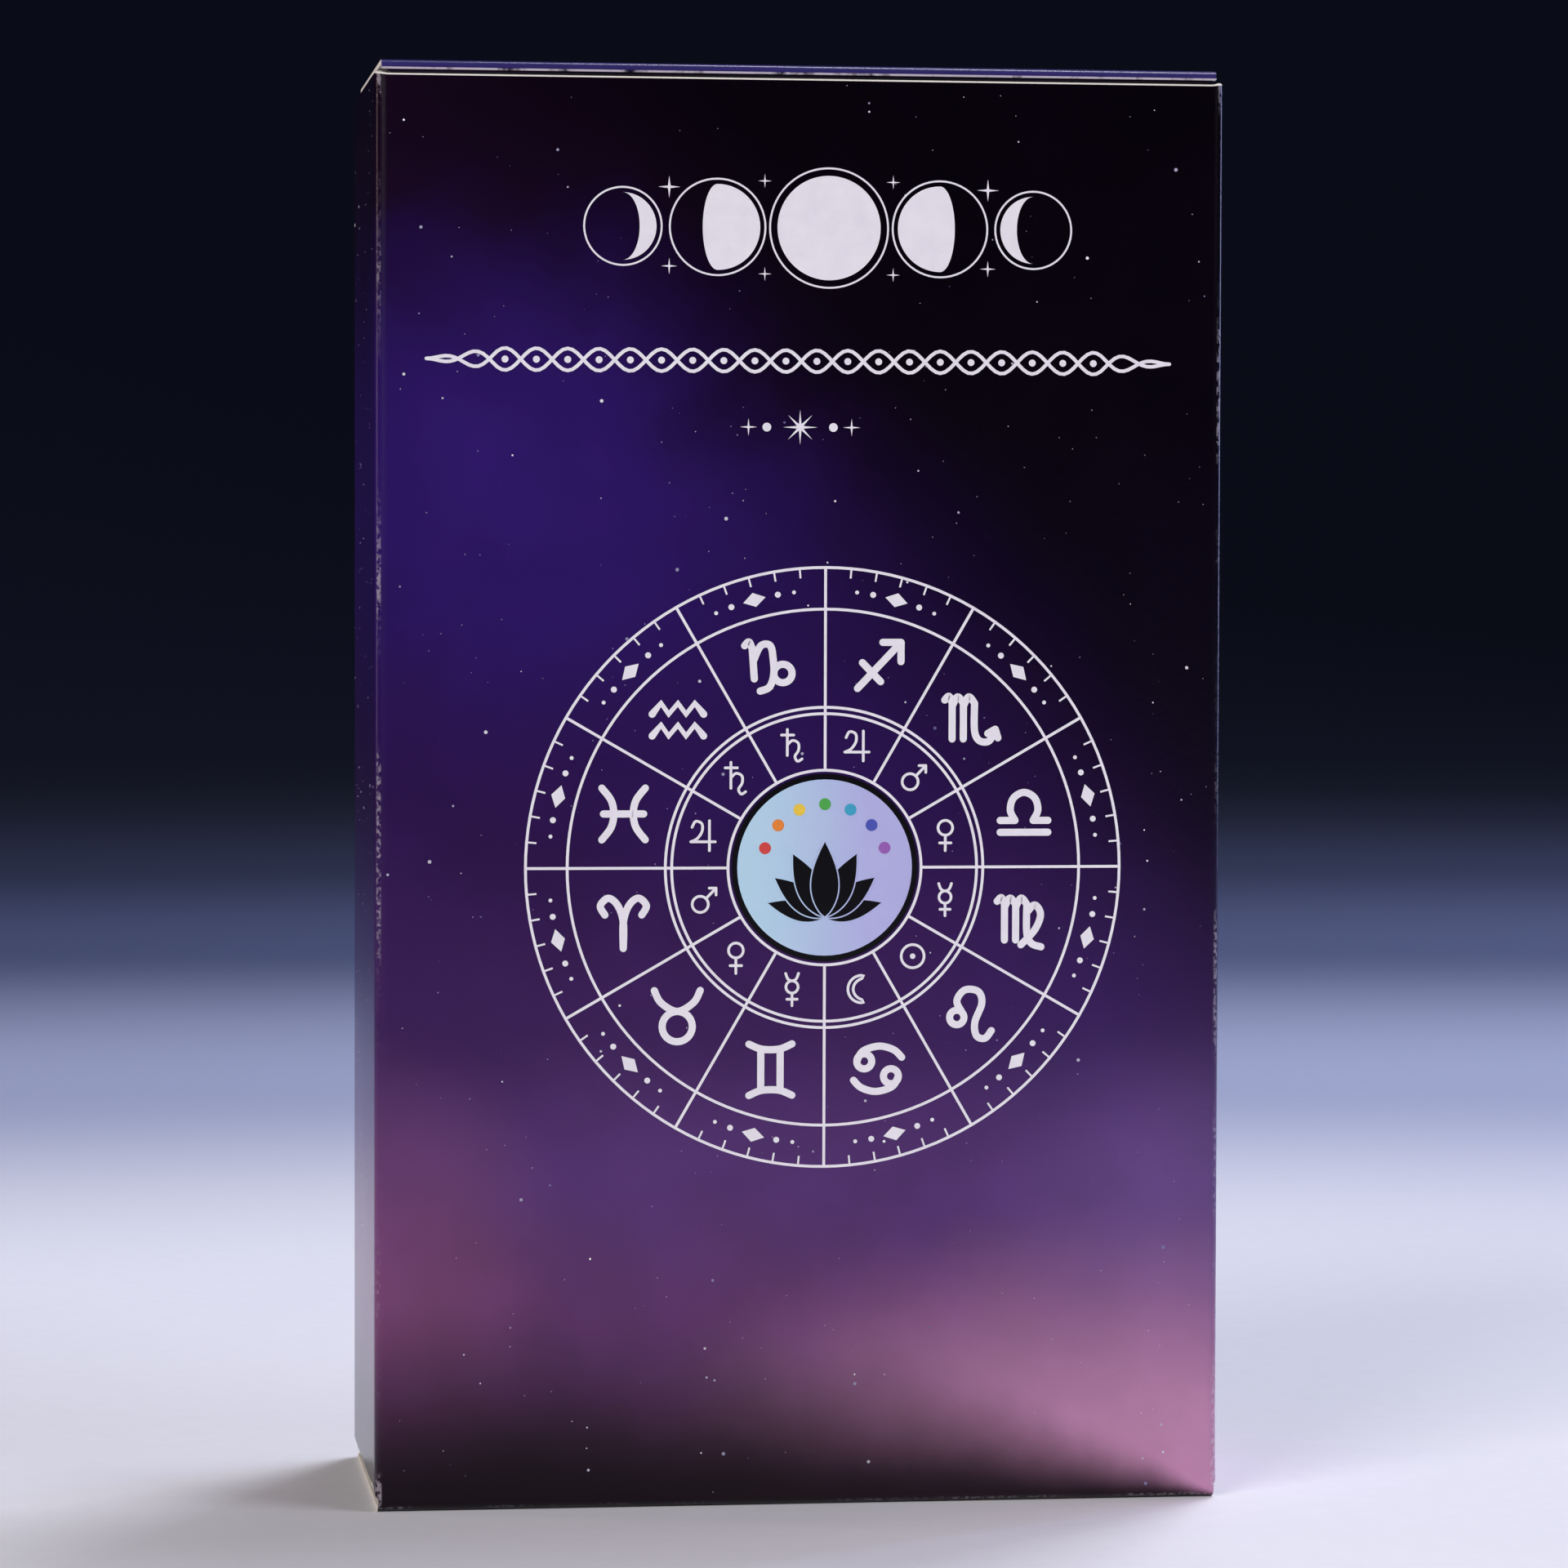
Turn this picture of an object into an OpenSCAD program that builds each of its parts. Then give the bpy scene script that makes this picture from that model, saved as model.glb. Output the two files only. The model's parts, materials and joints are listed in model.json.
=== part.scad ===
// Tarot card deck: 78 cards in a folded paperboard tuck carton.
// Millimetres. +Z up, the carton stands on z = 0, its front faces -Y, and the origin is under its middle.
// The carton is built outwards from the deck: cards, then the room round them, then the board.

/* [Cards] */
// Width of one card
card_w = 70; // [60:1:90]
// Height of one card
card_h = 120; // [100:1:145]
// Thickness of one card
card_t = 0.32; // [0.26:0.01:0.4]
// Air between two neighbouring cards in the squared-up deck
card_air = 0.01; // [0.005:0.005:0.03]
// Radius of a card's corners
card_corner_r = 4; // [2:0.5:8]

/* [Board] */
// Thickness of the carton's board
board_t = 0.45; // [0.3:0.05:0.6]
// Outer radius of the carton's folded edges
crease_r = 1.1; // [0.8:0.05:2]

/* [Room round the deck] */
// Room between the deck and each side panel
side_room = 1.55; // [0.8:0.05:3]
// Room between the last card and the glue flap
rear_room = 1.6; // [1.2:0.05:4]
// Room between the deck's top and the dust flaps
head_room = 2.65; // [2.2:0.05:5]

/* [Lid] */
// Height of the lid above the front panel's cut edge
lid_rise = 1.25; // [1:0.05:2]
// Outer radius of the lid's front fold
fold_r = 0.9; // [0.65:0.05:1]
// How far each end of the lid stands in from the carton's side
lid_inset = 0.6; // [0.2:0.05:1.5]

/* [Tuck flap] */
// Length of the tuck flap from its fold
tuck_l = 11.5; // [8:0.5:16]
// Lean of the tuck flap towards the deck, in degrees
tuck_lean = 14; // [13:0.5:20]
// Radius of the tuck flap's two free corners
tuck_corner_r = 7; // [3:0.5:10]
// How far each end of the tuck flap stands in from the carton's side
tuck_inset = 1.3; // [0.8:0.05:3]
// Play between the tuck flap and the front panel
tuck_play = 0.15; // [0.1:0.05:0.4]
// Clearance between the tuck flap's tip and the first card
tuck_clear = 0.3; // [0.2:0.05:1]

/* [Dust flaps] */
// Length of a dust flap from the side panel
dust_l = 18; // [10:0.5:22]
// Slope of a dust flap's rear edge, in degrees
dust_rear_slope = 42; // [35:0.5:48]
// Gap between a dust flap's front edge and the front panel
dust_front_gap = 5; // [4:0.1:8]
// Radius of a dust flap's front corner
dust_corner_r = 3; // [1:0.25:5]
// Air between the dust flaps and the lid
dust_air = 0.1; // [0.05:0.05:0.3]

/* [Bottom and glue flap] */
// How far each end of a bottom flap stands in from the carton's side
bottom_inset = 0.8; // [0.4:0.05:2]
// Length of the inner bottom flap from the back panel
bottom_inner_l = 20; // [12:0.5:25]
// How far the outer bottom flap stops short of the carton's back
bottom_outer_gap = 1.5; // [1:0.1:4]
// Width of the glue flap inside the back panel
glue_w = 13; // [8:0.5:20]
// Slope of the glue flap's two ends, in degrees
glue_slope = 30; // [10:1:45]
// How far the glue flap stops short of the back panel's top and bottom
glue_end_gap = 3; // [2:0.25:8]

/* [Hidden] */
$fn = 64;

// Cards in the order they stand in the carton, from the front panel to the back panel
TRUMPS = ["fool", "magician", "high_priestess", "empress", "emperor", "hierophant", "lovers", "chariot",
          "strength", "hermit", "wheel", "justice", "hanged_one", "death", "temperance", "devil", "tower",
          "star", "moon", "sun", "judgement", "world"];
SUITS = ["wands", "cups", "swords", "pentacles"];
COURTS = ["page", "knight", "queen", "king"];
PIPS = 10;
suit_size = PIPS + len(COURTS);
card_count = len(TRUMPS) + len(SUITS) * suit_size;

CARTON = ["front_panel", "back_panel", "left_panel", "right_panel", "glue_flap", "top_lid", "tuck_flap",
          "dust_flap_left", "dust_flap_right", "bottom_outer_flap", "bottom_inner_flap",
          "bottom_dust_flap_left", "bottom_dust_flap_right"];

// Node names of the cards
function trump_node(i) = str("card_", TRUMPS[i]);
function pips_node(s) = str("cards_", SUITS[s], "_ace_to_ten");
function court_node(s, c) = str("card_", SUITS[s], "_", COURTS[c]);

// Place of a suit's first card in the deck
function suit_start(s) = len(TRUMPS) + s * suit_size;

// One overrun serves every cutting shape
overrun = 10;

// The deck, and the room that the leaning tuck flap needs in front of it
card_pitch = card_t + card_air;
deck_d = card_count * card_pitch - card_air;
tuck_room = tuck_play + tuck_l * sin(tuck_lean) + board_t * cos(tuck_lean) + tuck_clear;

// The carton's outside, worked out from the deck: three layers of board lie under it, and two above
bottom_layers = 3;
box_w = card_w + 2 * (side_room + board_t);
box_d = board_t + tuck_room + deck_d + rear_room + 2 * board_t;
box_h = bottom_layers * board_t + card_h + head_room + board_t + dust_air + board_t;

front_y = -box_d / 2;
back_y = box_d / 2;
side_x = box_w / 2;

// Where the deck stands
deck_y = front_y + board_t + tuck_room;
deck_z = bottom_layers * board_t;

// Heights of the panels' edges
front_top = box_h - lid_rise;
lid_under = box_h - board_t;
dust_top = lid_under - dust_air;
dust_under = dust_top - board_t;
outer_level = 0;
inner_level = board_t;
bottom_dust_level = (bottom_layers - 1) * board_t;

// The dust flaps' front edge
dust_front = front_y + board_t + dust_front_gap;

// The tuck flap's fold line
tuck_y = front_y + board_t + tuck_play;
tuck_z = box_h - fold_r;

board_print = "#2d2357";
board_print_side = "#3a2f78";
board_white = "#e9e6e2";
card_face = "#f4efe4";

// An outline in (y, z), drawn out along X and centred on x = 0
module along_x(w) {
    translate([-w / 2, 0, 0]) rotate([90, 0, 90]) linear_extrude(w) children();
}

// An outline in (x, z), drawn out along +Y from y0
module along_y(y0, d) {
    translate([0, y0 + d, 0]) rotate([90, 0, 0]) linear_extrude(d) children();
}

// A rectangle with round corners, from its lower left corner
module round_sheet(w, h, r) {
    translate([r, 0]) square([w - 2 * r, h]);
    translate([0, r]) square([w, h - 2 * r]);
    for (x = [r, w - r], y = [r, h - r]) translate([x, y]) circle(r);
}

// A sheet of board in section, with a quarter fold of outer radius r round the origin. The sheet runs on
// along +X for the length flat, with its outer face at y = r.
module folded_section(flat, r) {
    intersection() {
        translate([-r, 0]) square([r + flat, r]);
        difference() {
            union() {
                circle(r);
                square([flat, r]);
            }
            circle(r - board_t);
            translate([0, -overrun]) square([flat + overrun, overrun + r - board_t]);
        }
    }
}

// A sheet of board in section, from the origin along +X, that turns on its far upper corner and is rounded there
module hinged_section(l) {
    intersection() {
        square([l, board_t]);
        union() {
            square([l - board_t, board_t]);
            translate([l - board_t, 0]) circle(board_t);
        }
    }
}

// The carton's four walls, seen from above
module tube_section() {
    difference() {
        translate([-side_x, front_y]) round_sheet(box_w, box_d, crease_r);
        translate([board_t - side_x, board_t + front_y])
            round_sheet(box_w - 2 * board_t, box_d - 2 * board_t, crease_r - board_t);
    }
}

// A wide panel with its two upright folds, seen from above, from y0
module wide_section(y0) {
    intersection() {
        tube_section();
        translate([-side_x, y0]) square([box_w, crease_r]);
    }
}

// Front of the carton, between the lid and the fold to the outer bottom flap
module front_panel() {
    color(board_print) translate([0, 0, crease_r]) linear_extrude(front_top - crease_r) wide_section(front_y);
}

// Back of the carton, up to the lid that hinges on it
module back_panel() {
    foot = inner_level + crease_r;
    color(board_print) translate([0, 0, foot]) linear_extrude(lid_under - foot) wide_section(back_y - crease_r);
}

// Side of the carton, between its two dust flaps
module side_panel() {
    foot = bottom_dust_level + crease_r;
    color(board_print_side) translate([side_x - board_t, front_y + crease_r, foot])
        cube([board_t, box_d - 2 * crease_r, dust_under - foot]);
}

module right_panel() {
    side_panel();
}

module left_panel() {
    mirror([1, 0, 0]) side_panel();
}

// Strip of the right panel that is glued inside the back panel
module glue_flap() {
    root_x = side_x - crease_r;
    foot = inner_level + crease_r + glue_end_gap;
    head = lid_under - glue_end_gap;
    drop = glue_w * tan(glue_slope);
    color(board_white) along_y(back_y - 2 * board_t, board_t)
        polygon([[root_x, foot], [root_x, head], [root_x - glue_w, head - drop], [root_x - glue_w, foot + drop]]);
}

// Lid, hinged on the back panel's outer top corner, with its round front fold
module top_lid() {
    fold_y = tuck_y + fold_r;
    lid_l = back_y - fold_y;
    color(board_print) along_x(box_w - 2 * lid_inset) translate([fold_y, tuck_z]) {
        folded_section(lid_l - board_t, fold_r);
        translate([0, fold_r - board_t]) hinged_section(lid_l);
    }
}

// Flap on the lid's front fold, which tucks in behind the front panel and leans on towards the deck
module tuck_flap() {
    tuck_w = box_w - 2 * tuck_inset;
    mitre = board_t * tan(tuck_lean);
    color(board_print) translate([0, tuck_y, tuck_z]) rotate([tuck_lean, 0, 0]) intersection() {
        along_x(tuck_w) polygon([[0, 0], [0, -tuck_l], [board_t, -tuck_l], [board_t, -mitre]]);
        along_y(-overrun, board_t + 2 * overrun) translate([-tuck_w / 2, -tuck_l])
            round_sheet(tuck_w, tuck_l + overrun, tuck_corner_r);
    }
}

// A block with the outline of the right-hand dust flaps, whose front corner is round, about the height z
module dust_block(z) {
    tip_x = side_x - dust_l;
    rear = back_y - crease_r;
    tip_rear = rear - dust_l * tan(dust_rear_slope);
    translate([0, 0, z - overrun]) linear_extrude(2 * overrun) intersection() {
        polygon([[side_x, rear], [side_x, dust_front], [tip_x, dust_front], [tip_x, tip_rear]]);
        translate([tip_x, dust_front]) round_sheet(dust_l + overrun, box_d, dust_corner_r);
    }
}

// Top dust flap, hinged on the side panel's outer top corner, under the lid
module dust_flap() {
    color(board_print_side) intersection() {
        along_y(front_y, box_d) translate([side_x - dust_l, dust_under]) hinged_section(dust_l);
        dust_block(dust_under);
    }
}

module dust_flap_right() {
    dust_flap();
}

module dust_flap_left() {
    mirror([1, 0, 0]) dust_flap();
}

// Outer bottom flap, folded from the front panel, on which the carton stands
module bottom_outer_flap() {
    fold_y = front_y + crease_r;
    color(board_print) along_x(box_w - 2 * bottom_inset) translate([fold_y, outer_level + crease_r])
        mirror([0, 1]) folded_section(back_y - bottom_outer_gap - fold_y, crease_r);
}

// Inner bottom flap, folded from the back panel and glued between the outer flap and the dust flaps
module bottom_inner_flap() {
    color(board_white) along_x(box_w - 2 * bottom_inset)
        translate([back_y - crease_r, inner_level + crease_r])
        rotate(180) folded_section(bottom_inner_l - crease_r, crease_r);
}

// Bottom dust flap, folded from the side panel; the deck stands on the pair of them
module bottom_dust_flap() {
    color(board_white) intersection() {
        along_y(front_y, box_d) translate([side_x - crease_r, bottom_dust_level + crease_r])
            rotate(180) folded_section(dust_l - crease_r, crease_r);
        dust_block(bottom_dust_level);
    }
}

module bottom_dust_flap_right() {
    bottom_dust_flap();
}

module bottom_dust_flap_left() {
    mirror([1, 0, 0]) bottom_dust_flap();
}

// One card, by its place in the deck counted from the front
module card(place) {
    color(card_face) translate([-card_w / 2, 0, deck_z])
        along_y(deck_y + place * card_pitch, card_t) round_sheet(card_w, card_h, card_corner_r);
}

// A suit's pip cards, each a solid of its own
module pip_cards(s) {
    for (i = [0 : PIPS - 1]) card(suit_start(s) + i);
}

front_panel();
back_panel();
left_panel();
right_panel();
glue_flap();
top_lid();
tuck_flap();
dust_flap_left();
dust_flap_right();
bottom_outer_flap();
bottom_inner_flap();
bottom_dust_flap_left();
bottom_dust_flap_right();
for (i = [0 : len(TRUMPS) - 1]) card(i);
for (s = [0 : len(SUITS) - 1]) pip_cards(s);
for (s = [0 : len(SUITS) - 1], c = [0 : len(COURTS) - 1])
    card(suit_start(s) + PIPS + c);
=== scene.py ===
# %% [markdown]
# # A tarot deck in its tuck carton
# The object is a closed paperboard carton, 74 mm wide and 125 mm tall, that holds 78 cards. One sheet of
# board is printed, laminated with a gloss film, cut, creased and folded, so almost everything here is a
# thin folded sheet. The solids come from CAD and are loaded first. Each piece made below stands for some
# of them and rides on the same body, so the lid still swings and the deck still slides.

# %% Load the frame and take its measures
import json
import math
import bmesh
import bpy
from mathutils import Matrix, Vector


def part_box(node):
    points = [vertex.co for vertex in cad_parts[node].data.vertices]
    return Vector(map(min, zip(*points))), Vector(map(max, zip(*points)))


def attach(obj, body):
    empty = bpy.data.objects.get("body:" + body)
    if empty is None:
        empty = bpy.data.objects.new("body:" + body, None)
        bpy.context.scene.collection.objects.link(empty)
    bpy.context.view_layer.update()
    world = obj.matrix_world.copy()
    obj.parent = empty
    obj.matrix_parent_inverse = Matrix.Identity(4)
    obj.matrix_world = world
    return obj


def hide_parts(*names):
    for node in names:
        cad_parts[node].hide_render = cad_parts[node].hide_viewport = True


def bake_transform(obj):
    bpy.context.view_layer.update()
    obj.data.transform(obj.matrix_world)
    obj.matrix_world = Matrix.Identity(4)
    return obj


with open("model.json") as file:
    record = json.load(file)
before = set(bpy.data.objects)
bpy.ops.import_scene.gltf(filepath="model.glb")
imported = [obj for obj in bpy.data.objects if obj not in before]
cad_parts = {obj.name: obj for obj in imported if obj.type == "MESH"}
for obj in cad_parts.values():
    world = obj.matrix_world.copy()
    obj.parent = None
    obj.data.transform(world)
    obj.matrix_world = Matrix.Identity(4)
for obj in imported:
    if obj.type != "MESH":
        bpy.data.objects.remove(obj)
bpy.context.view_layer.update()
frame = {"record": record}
MM = 0.001
bpy.context.scene.view_settings.view_transform = "Standard"

# %% [markdown]
# ## Measures of the carton
# A scene stays in step with its CAD model when it reads the sizes from the solids and doesn't repeat
# them. Every length below comes from the box of a solid: the board's thickness is the thickness of a side
# panel, and the radius of an upright fold is the depth of the front panel with its two folds. The drawing
# unit is the millimetre.

# %% Read the carton's measures in millimetres
def node_box(node):
    low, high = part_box(node)
    return Vector(low) / MM, Vector(high) / MM


front_low, front_high = node_box("front_panel")
back_low, back_high = node_box("back_panel")
right_low, right_high = node_box("right_panel")
glue_low, glue_high = node_box("glue_flap")
lid_low, lid_high = node_box("top_lid")
tuck_low, tuck_high = node_box("tuck_flap")
dust_low, dust_high = node_box("dust_flap_right")
bottom_high = node_box("bottom_outer_flap")[1]
inner_low, inner_high = node_box("bottom_inner_flap")
first_low, first_high = node_box("card_fool")
last_low = node_box("card_pentacles_king")[0]
BOARD = right_high.x - right_low.x
CREASE = front_high.y - front_low.y
SIDE = right_high.x
FRONT = front_low.y
BACK = back_high.y
TOP = lid_high.z
FOLD = TOP - lid_low.z
print("board", round(BOARD, 3), "upright fold", round(CREASE, 3), "lid fold", round(FOLD, 3))

# %% [markdown]
# ## Camera
# The camera was fitted to the carton's corners in the photograph: a long lens from a little to the left,
# looking down by two degrees. A long lens keeps the upright edges nearly parallel. The three axes of the
# camera are worked out from its azimuth, pitch and roll, and its place from its distance to the middle of
# the front.

# %% Camera at the photograph's angle
VIEW_AZIMUTH = math.radians(-7.515)
VIEW_PITCH = math.radians(2.077)
VIEW_ROLL = math.radians(0.16)
VIEW_DISTANCE = 504.6
VIEW_AIM = Vector((0.0, -0.37, 62.5))
VIEW_SLIDE = (0.502, -0.232)
LENS_MM = 129.5
SENSOR_MM = 36.0


def new_object(name, data):
    thing = bpy.data.objects.new(name, data)
    bpy.context.collection.objects.link(thing)
    return thing


forward = Vector((-math.sin(VIEW_AZIMUTH) * math.cos(VIEW_PITCH),
                  math.cos(VIEW_AZIMUTH) * math.cos(VIEW_PITCH),
                  -math.sin(VIEW_PITCH)))
level_right = Vector((math.cos(VIEW_AZIMUTH), math.sin(VIEW_AZIMUTH), 0.0))
level_up = level_right.cross(forward)
right_axis = level_right * math.cos(VIEW_ROLL) + level_up * math.sin(VIEW_ROLL)
up_axis = level_up * math.cos(VIEW_ROLL) - level_right * math.sin(VIEW_ROLL)
eye = VIEW_AIM - forward * VIEW_DISTANCE + level_right * VIEW_SLIDE[0] + level_up * VIEW_SLIDE[1]

camera_data = bpy.data.cameras.new("camera")
camera_data.lens = LENS_MM
camera_data.sensor_width = SENSOR_MM
camera = new_object("camera", camera_data)
turn = Matrix((right_axis, up_axis, -forward)).transposed().to_4x4()
camera.matrix_world = Matrix.Translation(eye * MM) @ turn
bpy.context.scene.camera = camera
print("camera stands at, mm:", [round(v, 1) for v in eye])

# %% [markdown]
# ## Helpers for node trees
# Materials and Geometry Nodes are both trees of nodes. One small helper adds a node, sets its properties,
# and fills its sockets, either with a value or with a link from another socket. A colour is written as in
# a paint program, and turned into the linear values that a renderer works with when it goes into a
# socket.

# %% Node helpers
def ink_colour(code):
    channels = [int(code[i:i + 2], 16) / 255 for i in (1, 3, 5)]
    linear = [c / 12.92 if c <= 0.04045 else ((c + 0.055) / 1.055) ** 2.4 for c in channels]
    return (*linear, 1.0)


def fill(tree, node, sockets):
    for key, value in sockets.items():
        if isinstance(value, bpy.types.NodeSocket):
            tree.links.new(value, node.inputs[key])
        elif isinstance(value, str) and value.startswith("#"):
            node.inputs[key].default_value = ink_colour(value)
        else:
            node.inputs[key].default_value = value


def add(tree, kind, sockets=None, **settings):
    node = tree.nodes.new(kind)
    for key, value in settings.items():
        setattr(node, key, value)
    fill(tree, node, sockets or {})
    return node


def calc(tree, operation, *values):
    return add(tree, "ShaderNodeMath", dict(enumerate(values)), operation=operation).outputs[0]


def scaled(tree, value, factor, offset):
    return calc(tree, "ADD", calc(tree, "MULTIPLY", value, factor), offset)


def soft_step(tree, value, low, high):
    return add(tree, "ShaderNodeMapRange", {"Value": value, 1: low, 2: high},
               interpolation_type="SMOOTHSTEP").outputs[0]


def spread(tree, value, low, high):
    return add(tree, "ShaderNodeMapRange", {"Value": value, 3: low, 4: high}).outputs[0]


def mix_colours(tree, factor, first, second, blend="MIX"):
    return add(tree, "ShaderNodeMix", {0: factor, 6: first, 7: second},
               data_type="RGBA", blend_type=blend).outputs[2]


def noise(tree, place, scale, detail=4.0, roughness=0.5, distortion=0.0):
    return add(tree, "ShaderNodeTexNoise", {"Vector": place, "Scale": scale, "Detail": detail,
                                            "Roughness": roughness, "Distortion": distortion}).outputs[0]


def new_material(name):
    material = bpy.data.materials.new(name)
    material.use_nodes = True
    tree = material.node_tree
    tree.nodes.clear()
    shader = add(tree, "ShaderNodeBsdfPrincipled")
    add(tree, "ShaderNodeOutputMaterial", {0: shader.outputs[0]})
    place = add(tree, "ShaderNodeTexCoord").outputs["Object"]
    millimetres = add(tree, "ShaderNodeVectorMath", {0: place, "Scale": 1 / MM}, operation="SCALE").outputs[0]
    return material, tree, shader, millimetres


print("white is", ink_colour("#ffffff")[:3])

# %% [markdown]
# ## Floor
# The floor is a round sheet of background paper that bends up into a wall all the way round, so it closes
# the view from any side. It is pale where the carton stands. Further out, and sooner behind the carton,
# it turns to slate blue, because a gloss film on a dark print shows every bright thing that faces it as a
# grey veil.

# %% Shape of the paper bowl
FLOOR_RADIUS = 1.7
BEND_RADIUS = 0.9
WALL_HEIGHT = 3.0
FLOOR_RINGS = 8
BEND_RINGS = 12
BOWL_STEPS = 96


def circle(x, y, radius, steps):
    turns = [math.tau * k / steps for k in range(steps)]
    return [(x + radius * math.cos(a), y + radius * math.sin(a)) for a in turns]


def close_mesh(work, name):
    mesh = bpy.data.meshes.new(name)
    work.to_mesh(mesh)
    work.free()
    return mesh


def bowl_profile():
    points = [(FLOOR_RADIUS * k / FLOOR_RINGS, 0.0) for k in range(1, FLOOR_RINGS + 1)]
    for k in range(1, BEND_RINGS + 1):
        angle = math.pi / 2 * k / BEND_RINGS
        points.append((FLOOR_RADIUS + BEND_RADIUS * math.sin(angle), BEND_RADIUS * (1 - math.cos(angle))))
    return points + [(FLOOR_RADIUS + BEND_RADIUS, WALL_HEIGHT)]


bowl = bmesh.new()
bowl_loops = [[bowl.verts.new((x, y, height)) for x, y in circle(0.0, 0.0, radius, BOWL_STEPS)]
              for radius, height in bowl_profile()]
bowl.faces.new(bowl_loops[0])
for inside, outside in zip(bowl_loops, bowl_loops[1:]):
    for k in range(BOWL_STEPS):
        n = (k + 1) % BOWL_STEPS
        bowl.faces.new((inside[k], outside[k], outside[n], inside[n]))
bowl_mesh = close_mesh(bowl, "paper_bowl")
bowl_mesh.shade_smooth()
paper_bowl = new_object("paper_bowl", bowl_mesh)
print("floor radius", FLOOR_RADIUS, "m, wall to", WALL_HEIGHT, "m")

# %% Background paper
PAPER_STOPS = ((0.0, "#dfe0e6"), (0.1, "#d8dae3"), (0.27, "#8d95b2"), (0.5, "#3a4364"), (0.75, "#1e2540"),
               (1.0, "#141a30"))
PAPER_RUN = 2900.0
PAPER_GRAIN = 0.06


def colour_ramp(tree, value, stops):
    ramp = add(tree, "ShaderNodeValToRGB", {0: value})
    ramp.color_ramp.interpolation = "EASE"
    while len(ramp.color_ramp.elements) < len(stops):
        ramp.color_ramp.elements.new(0.5)
    for stop, (position, code) in zip(ramp.color_ramp.elements, stops):
        stop.position = position
        stop.color = ink_colour(code)
    return ramp.outputs[0]


paper, paper_tree, paper_shader, paper_mm = new_material("background_paper")
paper_flat = add(paper_tree, "ShaderNodeVectorMath", {0: paper_mm, 1: (1.0, 1.0, 0.0)},
                 operation="MULTIPLY").outputs[0]
paper_far = add(paper_tree, "ShaderNodeVectorMath", {0: paper_flat}, operation="LENGTH").outputs["Value"]
paper_split = add(paper_tree, "ShaderNodeSeparateXYZ", {0: paper_mm}).outputs
paper_behind = calc(paper_tree, "MAXIMUM", paper_split[1], 0.0)
paper_run = calc(paper_tree, "ADD", calc(paper_tree, "ADD", paper_far, paper_behind), paper_split[2])
paper_run = calc(paper_tree, "DIVIDE", paper_run, PAPER_RUN)
paper_tone = colour_ramp(paper_tree, paper_run, PAPER_STOPS)
paper_grain = scaled(paper_tree, noise(paper_tree, paper_mm, 0.4, 5.0), PAPER_GRAIN, 1 - PAPER_GRAIN / 2)
paper_tone = mix_colours(paper_tree, 1.0, paper_tone, paper_grain, "MULTIPLY")
fill(paper_tree, paper_shader, {"Base Color": paper_tone, "Roughness": 0.9, "Specular IOR Level": 0.2})
bowl_mesh.materials.append(paper)
print("paper is darkest at", PAPER_RUN / 1000, "m")

# %% [markdown]
# ## Lamps
# Plain soft studio light comes from two large lamps at the front, which stand well off the mirror
# direction of the front panel, and one behind on the right. The thin strips hardly light the carton. They
# are there for the folds: a rounded fold is a curved mirror, and a strip draws a fine bright line along
# it.

# %% Lamps and world
LAMPS = {
    "key_left": ((-1.05, -1.3, 0.9), (1.0, 1.0), 23.0, "#fff8f2"),
    "fill_right": ((1.4, -0.85, 0.95), (1.0, 1.0), 12.5, "#f3f2ff"),
    "back_right": ((0.75, 1.05, 0.95), (0.6, 0.5), 15.0, "#f2f4ff"),
    "strip_top": ((0.3, 0.3, 1.3), (0.6, 0.1), 5.0, "#f6f5ff"),
    "strip_right": ((1.25, 0.8, 0.45), (0.12, 0.9), 5.5, "#b4c0ff"),
    "strip_left": ((-1.25, 0.35, 0.4), (0.12, 0.8), 2.0, "#ffdccb"),
}
WORLD_COLOUR = "#8f93a3"
WORLD_STRENGTH = 0.3


def lamp(name, place, size, power, tint):
    data = bpy.data.lights.new(name, "AREA")
    data.shape = "RECTANGLE"
    data.size, data.size_y = size
    data.energy = power
    data.color = ink_colour(tint)[:3]
    stand = new_object(name, data)
    stand.location = place
    aim = Vector((0.0, 0.0, TOP / 2 * MM)) - Vector(place)
    stand.rotation_euler = aim.to_track_quat("-Z", "Y").to_euler()
    stand.visible_camera = False


for lamp_name, lamp_settings in LAMPS.items():
    lamp(lamp_name, *lamp_settings)
world = bpy.data.worlds.new("studio")
world.use_nodes = True
bpy.context.scene.world = world
fill(world.node_tree, world.node_tree.nodes["Background"],
     {"Color": WORLD_COLOUR, "Strength": WORLD_STRENGTH})
print("lamps:", list(LAMPS))
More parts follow.
